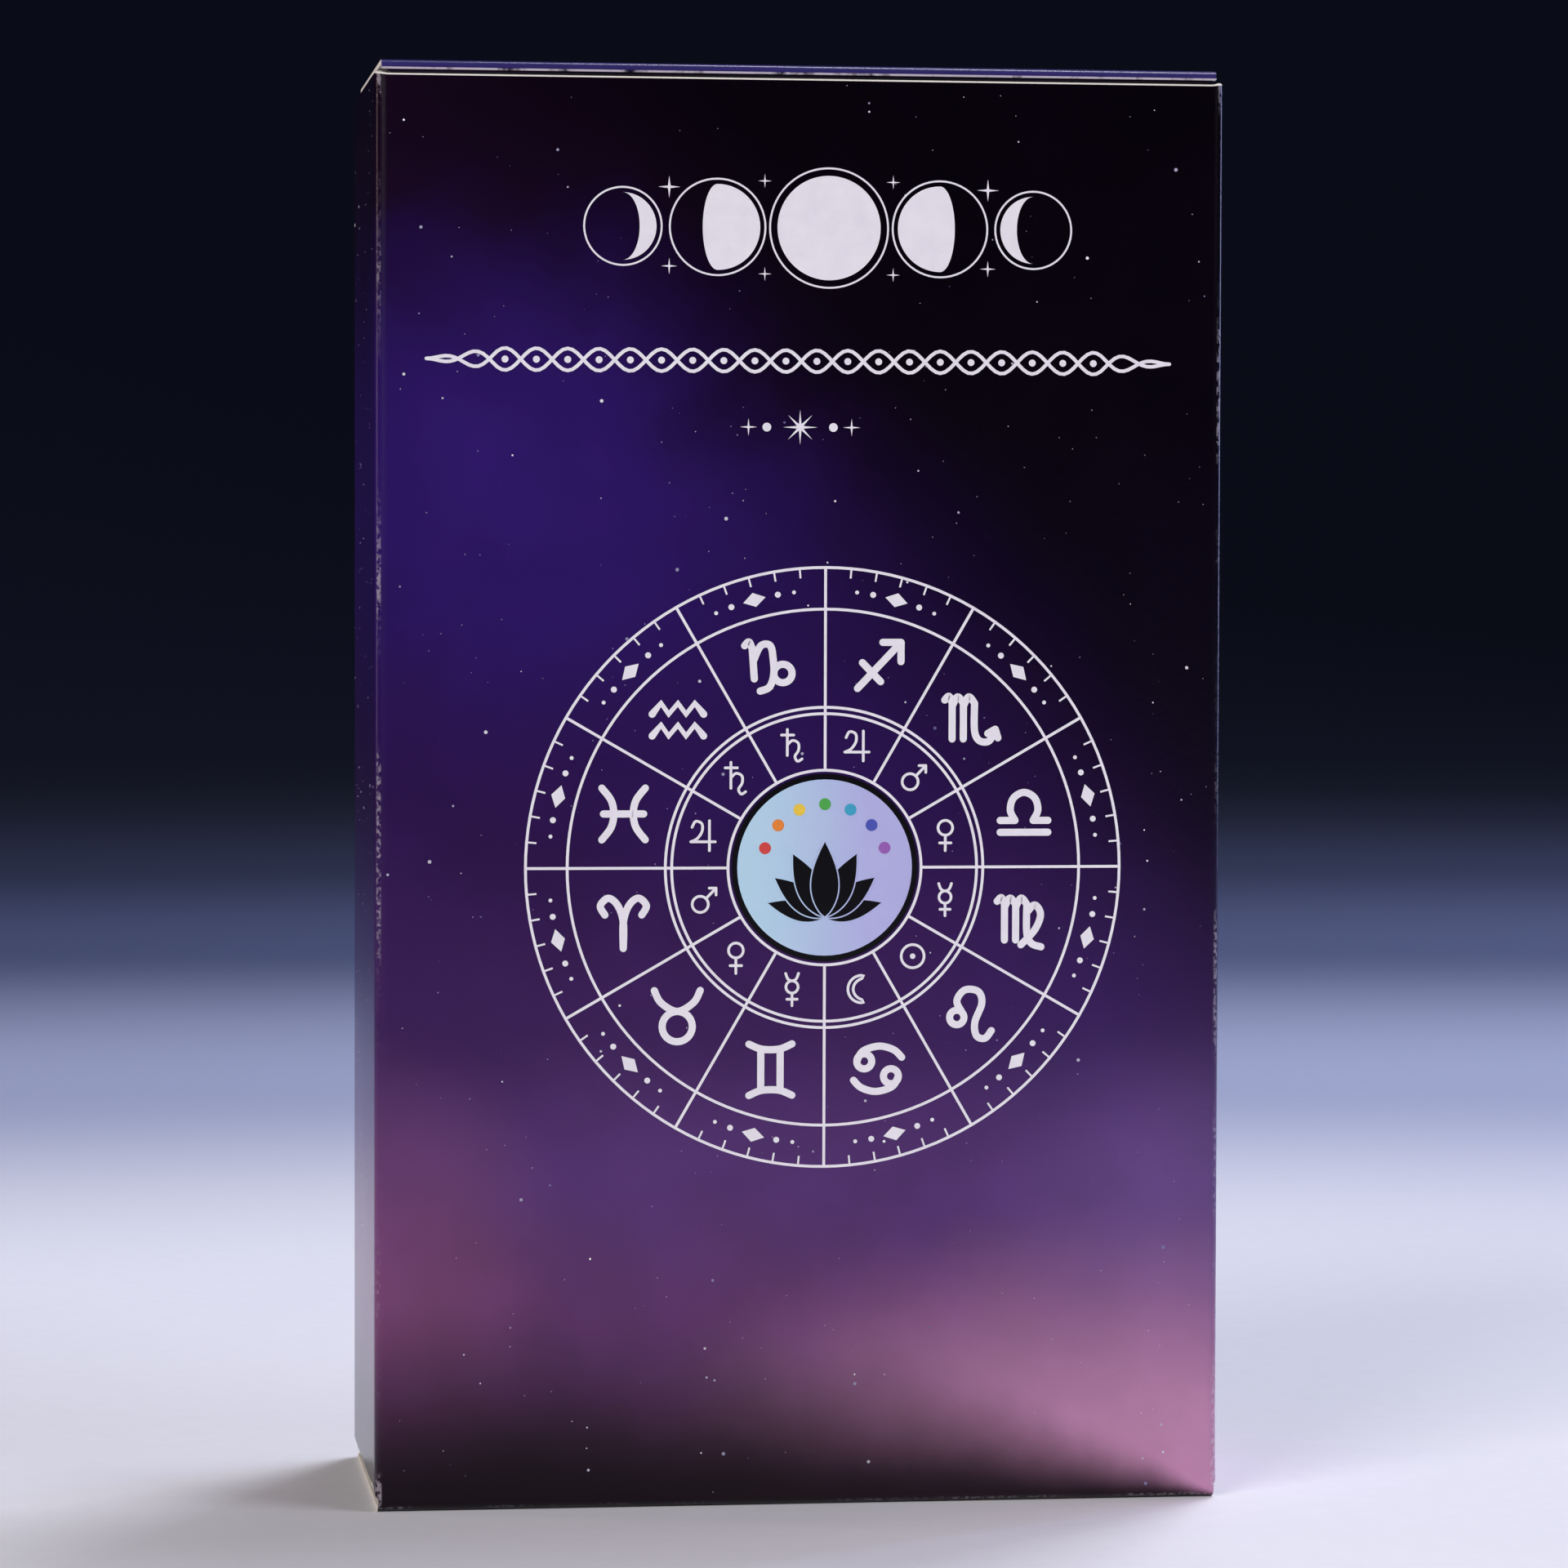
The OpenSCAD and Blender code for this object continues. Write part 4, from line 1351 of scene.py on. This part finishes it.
print("a smooth stroke through 3 points has", len(smooth((0, 0), (1, 1), (2, 0))[0]), "points")

# %% Signs of the zodiac
horn = smooth((0, -0.95), (0, 0.0), (0.2, 0.62), (0.55, 0.9), (0.85, 0.62), (0.68, 0.28))
claw = smooth((-0.78, 0.28), (-0.55, 0.66), (0.05, 0.84), (0.6, 0.7), (0.9, 0.42))
lid_arc = smooth((-0.8, 0.95), (-0.4, 0.78), (0, 0.74), (0.4, 0.78), (0.8, 0.95))
wave = bar((-0.95, 0.2), (-0.62, 0.6), (-0.34, 0.2), (0, 0.6), (0.3, 0.2), (0.62, 0.6), (0.95, 0.2))
fish = smooth((-0.8, 0.95), (-0.46, 0.5), (-0.36, 0), (-0.46, -0.5), (-0.8, -0.95))
hook = smooth((-1.0, 0.72), (-0.84, 0.86), (-0.72, 0.6))
first_arch = smooth((-0.72, 0.5), (-0.52, 0.84), (-0.3, 0.6))
second_arch = smooth((-0.3, 0.5), (-0.1, 0.84), (0.12, 0.6))
comb = [hook, bar((-0.72, 0.6), (-0.72, -0.72)), first_arch, bar((-0.3, 0.6), (-0.3, -0.72)), second_arch]

ZODIAC = {
    "aries": [horn, mirrored(horn)],
    "taurus": [ring(0, -0.38, 0.56), smooth((-0.85, 0.95), (-0.6, 0.5), (0, 0.18), (0.6, 0.5), (0.85, 0.95))],
    "gemini": [lid_arc, mirrored(lid_arc, 1, -1), bar((-0.36, 0.76), (-0.36, -0.76)),
               bar((0.36, 0.76), (0.36, -0.76))],
    "cancer": [ring(-0.5, 0.28, 0.28), ring(0.5, -0.28, 0.28), claw, mirrored(claw, -1, -1)],
    "leo": [ring(-0.5, -0.12, 0.27), smooth((-0.3, 0.06), (-0.5, 0.5), (-0.2, 0.9), (0.3, 0.84), (0.44, 0.4),
                                             (0.18, -0.3), (0.24, -0.8), (0.56, -0.9), (0.8, -0.62))],
    "virgo": [*comb, smooth((0.12, 0.6), (0.12, -0.45), (0.3, -0.85), (0.66, -0.98)),
              smooth((0.12, 0.3), (0.42, 0.58), (0.64, 0.22), (0.42, -0.35), (-0.1, -0.9))],
    "libra": [bar((-0.9, -0.72), (0.9, -0.72)), bar((-0.9, -0.28), (-0.34, -0.28)),
              bar((0.34, -0.28), (0.9, -0.28)), smooth((-0.34, -0.28), (-0.52, 0.1), (-0.4, 0.55), (0, 0.76),
                                                       (0.4, 0.55), (0.52, 0.1), (0.34, -0.28))],
    "scorpio": [*comb, smooth((0.12, 0.6), (0.12, -0.4), (0.3, -0.78), (0.66, -0.8), (0.88, -0.42)),
                bar((0.62, -0.52), (0.9, -0.36)), bar((0.9, -0.36), (1.0, -0.68))],
    "sagittarius": [bar((-0.8, -0.85), (0.82, 0.85)), bar((0.14, 0.85), (0.82, 0.85)),
                    bar((0.82, 0.85), (0.82, 0.14)), bar((-0.62, 0.1), (0.06, -0.6))],
    "capricorn": [hook, bar((-0.72, 0.6), (-0.64, -0.5)), smooth((-0.66, 0.2), (-0.4, 0.72), (-0.05, 0.72),
                  (0.06, 0.2), (0.08, -0.35), (-0.08, -0.8), (-0.42, -0.95)), ring(0.42, -0.3, 0.34)],
    "aquarius": [wave, ([(x, y - 0.8) for x, y in wave[0]], False)],
    "pisces": [fish, mirrored(fish), bar((-0.74, 0), (0.74, 0))],
}
print("zodiac signs:", len(ZODIAC))

# %% Signs of the old planets
horns = smooth((-0.4, 1.0), (-0.26, 0.66), (0, 0.54), (0.26, 0.66), (0.4, 1.0))
PLANETS = {
    "mars": [ring(-0.2, -0.22, 0.5), bar((0.17, 0.15), (0.78, 0.78)), bar((0.36, 0.78), (0.78, 0.78)),
             bar((0.78, 0.78), (0.78, 0.36))],
    "venus": [ring(0, 0.42, 0.46), bar((0, -0.04), (0, -1.0)), bar((-0.36, -0.52), (0.36, -0.52))],
    "mercury": [ring(0, 0.16, 0.38), bar((0, -0.22), (0, -1.0)), bar((-0.32, -0.6), (0.32, -0.6)), horns],
    "moon": [([(0.3 + 0.85 * math.cos(math.radians(a)), 0.85 * math.sin(math.radians(a)))
               for a in range(80, 281, 10)]
              + [(0.62 + 0.84 * math.cos(math.radians(a)), 0.7 * math.sin(math.radians(a)))
                 for a in range(250, 109, -10)], True)],
    "sun": [ring(0, 0, 0.72, 32), ring(0, 0, 0.09, 10)],
    "jupiter": [smooth((-0.72, 0.5), (-0.5, 0.86), (-0.12, 0.72), (-0.1, 0.25), (-0.4, -0.2), (-0.8, -0.4)),
                bar((-0.8, -0.4), (0.72, -0.4)), bar((0.36, 0.9), (0.36, -0.95))],
    "saturn": [bar((-0.34, 1.0), (-0.34, -0.6)), bar((-0.7, 0.66), (0.06, 0.66)),
               smooth((-0.34, 0.05), (-0.02, 0.32), (0.34, 0.16), (0.36, -0.28), (0.14, -0.66), (0.3, -0.96),
                      (0.58, -0.82))],
}
RULERS = ("mars", "venus", "mercury", "moon", "sun", "mercury", "venus", "mars", "jupiter", "saturn",
          "saturn", "jupiter")
print("planet signs:", len(PLANETS))

# %% Set the signs round the dial
SIGN_RADIUS = 18.15
SIGN_HALF = 2.35
SIGN_LINE = 0.62
RULER_RADIUS = 10.95
RULER_HALF = 1.4
RULER_LINE = 0.23
FIRST_SIGN = 195
FIELD_ANGLE = 30


def on_dial(radius, degrees):
    a = math.radians(degrees)
    return DIAL_CENTRE[0] + radius * math.cos(a), DIAL_CENTRE[1] + radius * math.sin(a)


def set_round(strokes, place, radius, half):
    cx, cy = on_dial(radius, FIRST_SIGN + FIELD_ANGLE * place)
    return [([(cx + half * x, cy + half * y) for x, y in points], closed) for points, closed in strokes]


sign_strokes = [s for k, strokes in enumerate(ZODIAC.values())
                for s in set_round(strokes, k, SIGN_RADIUS, SIGN_HALF)]
ruler_strokes = [s for k, planet in enumerate(RULERS)
                 for s in set_round(PLANETS[planet], k, RULER_RADIUS, RULER_HALF)]
print_lines("zodiac_signs", sign_strokes, SIGN_LINE)
print_lines("planet_signs", ruler_strokes, RULER_LINE)

# %% [markdown]
# ## Filled shapes
# Moons, stars, petals and dots are filled plates: an outline, its copy below, and a wall between. The
# lower copy sinks into the board, so no gap shows from the side.

# %% Plates from outlines
SINK = 0.03
PLATE_LIFT = 0.032
LIMB_STEPS = 28


def plates(outlines, lift, step=0.0):
    work = bmesh.new()
    for k, outline in enumerate(outlines):
        area = sum(a[0] * b[1] - b[0] * a[1] for a, b in zip(outline, outline[1:] + outline[:1]))
        loop = outline if area > 0 else outline[::-1]
        top = [work.verts.new((x, y, lift + step * k)) for x, y in loop]
        foot = [work.verts.new((x, y, -SINK)) for x, y in loop]
        work.faces.new(top)
        work.faces.new(foot[::-1])
        for i in range(len(loop)):
            j = (i + 1) % len(loop)
            work.faces.new((foot[i], foot[j], top[j], top[i]))
    return close_mesh(work, "plates")


def sparkle(x, y, radius, waist=0.16, points=4):
    outline = []
    for k in range(2 * points):
        reach = radius if k % 2 == 0 else radius * waist
        a = math.pi / 2 + math.pi * k / points
        outline.append((x + reach * math.cos(a), y + reach * math.sin(a)))
    return outline


def moon(x, y, radius, bulge, lit):
    limb = [math.pi / 2 - math.pi * k / LIMB_STEPS for k in range(LIMB_STEPS + 1)]
    edge = [(lit * math.cos(a), math.sin(a)) for a in limb]
    inner = [(lit * bulge * math.cos(a), math.sin(a)) for a in reversed(limb[1:-1])]
    return [(x + radius * u, y + radius * v) for u, v in edge + inner]


def print_plates(name, outlines, ink, lift=PLATE_LIFT, step=0.0, face="front"):
    mesh = plates(outlines, lift, step)
    mesh.materials.append(ink)
    print(name, len(outlines), "plates")
    lay_print(name, mesh, face)


print("a small star has", len(sparkle(0.0, 0.0, 1.0)), "corners")

# %% [markdown]
# ## Row of moons and its ornaments
# Along the top of the front runs a row of moon phases in solid white, from the waxing crescent over the
# full moon to the waning crescent, with small stars between. Below it come a fine braid, which is two
# waves crossing, with beads between them, and a star between two dots and two smaller stars. These are
# ornaments of the kind found on almanacs and cards of every age.

# %% Row of moons
MOON_ROW = (2.2, 110.9)
MOON_PHASES = ((-17.9, 2.9, 0.5, 1), (-9.7, 3.7, -0.35, 1), (9.7, 3.7, -0.35, -1), (17.9, 2.9, 0.5, -1))
MOON_STARS = ((13.9, 3.4, 0.95), (13.9, -3.4, 0.7), (5.6, 4.0, 0.6), (5.6, -4.0, 0.6))
FULL_MOON = 4.5
FULL_RING = 5.15
PHASE_RING_GAP = 0.45
MOON_LINE = 0.16
moons = [moon(MOON_ROW[0] + dx, MOON_ROW[1], r, bulge, lit) for dx, r, bulge, lit in MOON_PHASES]
moons.append(circle(*MOON_ROW, FULL_MOON, 72))
for side in (-1, 1):
    moons += [sparkle(MOON_ROW[0] + side * dx, MOON_ROW[1] + dy, r) for dx, dy, r in MOON_STARS]
print_plates("moon_phases", moons, white_ink)
halo = [ring(*MOON_ROW, FULL_RING, 72)]
halo += [ring(MOON_ROW[0] + dx, MOON_ROW[1], r + PHASE_RING_GAP, 56) for dx, r, bulge, lit in MOON_PHASES]
print_lines("moon_rings", halo, MOON_LINE)

# %% Braid and star row
BRAID_ROW = (-0.2, 99.4)
BRAID_HALF = 32.4
BRAID_PERIOD = 5.4
BRAID_HEIGHT = 0.95
BRAID_FADE = 6.0
BRAID_STEPS = 160
BRAID_LINE = 0.3
BEAD_RADIUS = 0.3
BEADS_EACH_SIDE = 10
STAR_ROW = (-0.3, 93.7)
STAR_DOT = (2.9, 0.38)
STAR_END = (4.5, 0.75)


def braid_wave(phase):
    path = []
    for k in range(BRAID_STEPS + 1):
        u = -BRAID_HALF + 2 * BRAID_HALF * k / BRAID_STEPS
        fade = min(1.0, (BRAID_HALF - abs(u)) / BRAID_FADE)
        swing = BRAID_HEIGHT * fade * math.sin(math.tau * u / BRAID_PERIOD + phase)
        path.append((BRAID_ROW[0] + u, BRAID_ROW[1] + swing))
    return path, False


print_lines("braid", [braid_wave(0.0), braid_wave(math.pi)], BRAID_LINE)
braid_beads = [circle(BRAID_ROW[0] + BRAID_PERIOD * (k + 0.5) / 2, BRAID_ROW[1], BEAD_RADIUS, 16)
               for k in range(-BEADS_EACH_SIDE, BEADS_EACH_SIDE)]
print_plates("braid_beads", braid_beads, white_ink)
star_row = [sparkle(*STAR_ROW, 1.5, 0.2, 8)]
star_row += [circle(STAR_ROW[0] + side * STAR_DOT[0], STAR_ROW[1], STAR_DOT[1], 20) for side in (-1, 1)]
star_row += [sparkle(STAR_ROW[0] + side * STAR_END[0], STAR_ROW[1], STAR_END[1]) for side in (-1, 1)]
print_plates("star_row", star_row, white_ink)

# %% [markdown]
# ## Marks in the degree band
# Between the two outer rings each of the twelve fields carries a small lozenge with two dots on each
# side. They are set by the same turn as the spokes, so they stay in the middle of their fields.

# %% Lozenges and dots in the band
BAND_SHIFT = 0.2
BAND_MIDDLE = (DIAL["Outer radius"] + DIAL["Band radius"]) / 2 - BAND_SHIFT
LOZENGE_HALF = 0.62
LOZENGE_TURN = 2.4
LOZENGE = ((LOZENGE_HALF, 0), (0, LOZENGE_TURN), (-LOZENGE_HALF, 0), (0, -LOZENGE_TURN))
BAND_DOTS = ((5, 0.26), (8.4, 0.17), (-5, 0.26), (-8.4, 0.17))
band_marks = []
for k in range(DIAL["Sectors"]):
    middle = FIELD_ANGLE / 2 + FIELD_ANGLE * k
    band_marks.append([on_dial(BAND_MIDDLE + outward, middle + turn_by) for outward, turn_by in LOZENGE])
    band_marks += [circle(*on_dial(BAND_MIDDLE, middle + turn_by), size, 14) for turn_by, size in BAND_DOTS]
print_plates("band_marks", band_marks, white_ink)

# %% [markdown]
# ## Middle of the dial
# The middle is a pale disc in a black rim, blue on the left and lavender on the right, with a lotus in
# black and seven dots in the order of the rainbow above it. The disc is wide enough to feel the puff of
# the panel, so it is made of rings of faces that follow the surface.

# %% Shape of a disc or a rim
def disc_mesh(radius, lift, rings=6, steps=72, hole=0.0):
    work = bmesh.new()
    loops = []
    radii = [hole + (radius - hole) * (k + 1) / rings for k in range(rings)]
    if hole:
        radii.insert(0, hole)
    for r in radii:
        loops.append([work.verts.new((x, y, lift)) for x, y in circle(*DIAL_CENTRE, r, steps)])
    if not hole:
        centre = work.verts.new((*DIAL_CENTRE, lift))
        for i in range(steps):
            work.faces.new((centre, loops[0][i], loops[0][(i + 1) % steps]))
    for low, high in zip(loops, loops[1:]):
        for i in range(steps):
            j = (i + 1) % steps
            work.faces.new((low[i], high[i], high[j], low[j]))
    rims = [loops[-1]] if not hole else [loops[-1], loops[0][::-1]]
    for rim in rims:
        foot = [work.verts.new((v.co.x, v.co.y, -SINK)) for v in rim]
        for i in range(steps):
            j = (i + 1) % steps
            work.faces.new((foot[i], foot[j], rim[j], rim[i]))
    return close_mesh(work, "disc")


print("disc centre", DIAL_CENTRE)

# %% Pale disc and its rim
DISC_RADIUS = 7.7
DISC_LIFT = 0.02
RIM_LIFT = 0.024
RIM_OUT = 0.45
RIM_IN = 0.05
DISC_TURN = (DIAL_CENTRE[0] - 7, DIAL_CENTRE[0] + 6)
THICK_INK_GLOSS = {"Coat Weight": 0.35, "Coat Roughness": 0.12}
pale_ink, pale_tree, pale_shader, pale_mm = new_material("pale_disc_ink")
pale_across = add(pale_tree, "ShaderNodeSeparateXYZ", {0: pale_mm}).outputs[0]
pale_turn = soft_step(pale_tree, pale_across, *DISC_TURN)
pale_cloud = noise(pale_tree, pale_mm, 0.25, 4.0, 0.6)
pale_tone = mix_colours(pale_tree, pale_turn, "#b4dcee", "#b2b0e6")
pale_tone = mix_colours(pale_tree, calc(pale_tree, "MULTIPLY", pale_cloud, 0.3), pale_tone, "#d7dcf4")
fill(pale_tree, pale_shader, {"Base Color": pale_tone, **THICK_INK_GLOSS,
                              "Roughness": spread(pale_tree, pale_cloud, *INK_ROUGHNESS)})
disc = disc_mesh(DISC_RADIUS, DISC_LIFT)
disc.materials.append(pale_ink)
lay_print("dial_disc", disc)
rim = disc_mesh(DISC_RADIUS + RIM_OUT, RIM_LIFT, 1, 72, DISC_RADIUS - RIM_IN)
rim.materials.append(black_ink)
lay_print("dial_rim", rim)
print("disc faces:", len(disc.polygons), "rim faces:", len(rim.polygons))

# %% Lotus
LOTUS_FOOT = (DIAL_CENTRE[0], DIAL_CENTRE[1] - 4.3)
PETALS = ((-76, 5.2, 1.8), (76, 5.2, 1.8), (-52, 5.6, 2.2), (52, 5.6, 2.2), (-27, 6.2, 2.4), (27, 6.2, 2.4),
          (0, 6.6, 2.5))
PETAL_POINTS = 24
PETAL_LIFT = 0.034
PETAL_STEP = 0.008
PETAL_LINE = 0.11
PETAL_LINE_LIFT = 0.008


def petal(lean_by, length, width):
    outline = []
    for k in range(PETAL_POINTS):
        t = k / (PETAL_POINTS - 1)
        half = width / 2 * math.sin(math.pi * t ** 0.8) ** 0.9
        outline.append((half, length * t))
    outline += [(-u, v) for u, v in outline[-2:0:-1]]
    c, s = math.cos(math.radians(lean_by)), math.sin(math.radians(lean_by))
    return [(LOTUS_FOOT[0] + u * c + v * s, LOTUS_FOOT[1] + v * c - u * s) for u, v in outline]


print_plates("lotus", [petal(*p) for p in PETALS], black_ink, PETAL_LIFT, PETAL_STEP)
petal_lines = [(petal(*p), True) for p in PETALS]
print_lines("lotus_outlines", petal_lines, PETAL_LINE, pale_ink, PETAL_LINE_LIFT, PETAL_STEP)

# %% Rainbow dots
RAINBOW = ("#d8453f", "#ee8a33", "#f3cf45", "#4fae4b", "#3fa7c9", "#4a55b5", "#9a5fb5")
DOT_ARC = 5.5
DOT_FIRST = 162
DOT_TURN = 24
DOT_RADIUS = 0.52
DOT_SIDES = 24
DOT_LIFT = 0.045
dot_ink, dot_tree, dot_shader, dot_mm = new_material("rainbow_ink")
dot_colour = add(dot_tree, "ShaderNodeAttribute", attribute_name="dot_colour").outputs["Color"]
dot_patch = scaled(dot_tree, noise(dot_tree, dot_mm, 3.0), 0.3, 0.85)
dot_tone = mix_colours(dot_tree, 1.0, dot_colour, dot_patch, "MULTIPLY")
fill(dot_tree, dot_shader, {"Base Color": dot_tone, "Roughness": 0.3, **THICK_INK_GLOSS})
dot_places = [on_dial(DOT_ARC, DOT_FIRST - DOT_TURN * k) for k in range(len(RAINBOW))]
dots = plates([circle(x, y, DOT_RADIUS, DOT_SIDES) for x, y in dot_places], DOT_LIFT)
dots.materials.append(dot_ink)
dot_layer = dots.color_attributes.new("dot_colour", "FLOAT_COLOR", "POINT")
for i, datum in enumerate(dot_layer.data):
    datum.color = ink_colour(RAINBOW[i // (2 * DOT_SIDES)])
lay_print("rainbow_dots", dots)
print("rainbow dots:", len(dot_places))

# %% [markdown]
# ## Print on the back
# The back isn't seen in the photograph, so its print is a guess in the manner of the front: a fine double
# frame with cut corners, a smaller wheel with an eight-pointed star in it, and a row of stars and dots
# above and below. The wheel comes from the same tree as the dial, with other sizes, which is what named
# inputs are for. A long straight line has points every few millimetres, so that it can follow the puff of
# the panel.

# %% Frame and wheel on the back
EMBLEM_CENTRE = (0.0, 64.0)
EMBLEM = {**DIAL, "Outer radius": 19.0, "Band radius": 17.6, "Ring radius": 12.6, "Ring gap": 0.5,
          "Inner radius": 10.4, "Sectors": 24, "Ticks": 96}
FRAME_STEP = 3.0
OUTER_FRAME = (31.5, 6.5, 118.0, 5.0)
INNER_FRAME = (30.3, 7.7, 116.8, 4.5)
FRAME_LINES = (0.3, 0.14)


def cut_corner_frame(half, low, high, cut):
    keys = [(half - cut, low), (half, low + cut), (half, high - cut), (half - cut, high),
            (cut - half, high), (-half, high - cut), (-half, low + cut), (cut - half, low)]
    path = []
    for a, b in zip(keys, keys[1:] + keys[:1]):
        count = math.ceil(math.dist(a, b) / FRAME_STEP)
        path += [(a[0] + (b[0] - a[0]) * k / count, a[1] + (b[1] - a[1]) * k / count)
                 for k in range(count)]
    return path, True


print_lines("back_frame_outer", [cut_corner_frame(*OUTER_FRAME)], FRAME_LINES[0], face="back")
print_lines("back_frame_inner", [cut_corner_frame(*INNER_FRAME)], FRAME_LINES[1], face="back")
emblem_mesh = grow("emblem", dial_tree, {**EMBLEM, "Ink": white_ink})
emblem_mesh.transform(Matrix.Translation((*EMBLEM_CENTRE, 0.0)))
lay_print("back_wheel", emblem_mesh, "back")
print("wheel faces:", len(emblem_mesh.polygons))

# %% Stars and dots on the back
EMBLEM_STAR = (8.6, 0.26, 8)
EMBLEM_DOTS = 8
EMBLEM_DOT_ARC = 5.6
EMBLEM_DOT = 0.45
BACK_ROWS = (95.0, 33.0)
ROW_STAR = (2.2, 0.2, 8)
ROW_DOT = (4.2, 0.5)
ROW_END = (6.6, 1.0)
CORNER_STAR = (26.5, 1.3)
CORNER_ROWS = (112.8, 11.7)
back_marks = [sparkle(*EMBLEM_CENTRE, *EMBLEM_STAR)]
for k in range(EMBLEM_DOTS):
    turn = math.tau * (k + 0.5) / EMBLEM_DOTS
    back_marks.append(circle(EMBLEM_CENTRE[0] + EMBLEM_DOT_ARC * math.cos(turn),
                             EMBLEM_CENTRE[1] + EMBLEM_DOT_ARC * math.sin(turn), EMBLEM_DOT, 20))
for row in BACK_ROWS:
    back_marks.append(sparkle(0.0, row, *ROW_STAR))
    for side in (-1, 1):
        back_marks.append(circle(side * ROW_DOT[0], row, ROW_DOT[1], 20))
        back_marks.append(sparkle(side * ROW_END[0], row, ROW_END[1]))
for side in (-1, 1):
    back_marks += [sparkle(side * CORNER_STAR[0], row, CORNER_STAR[1]) for row in CORNER_ROWS]
print_plates("back_marks", back_marks, white_ink, face="back")
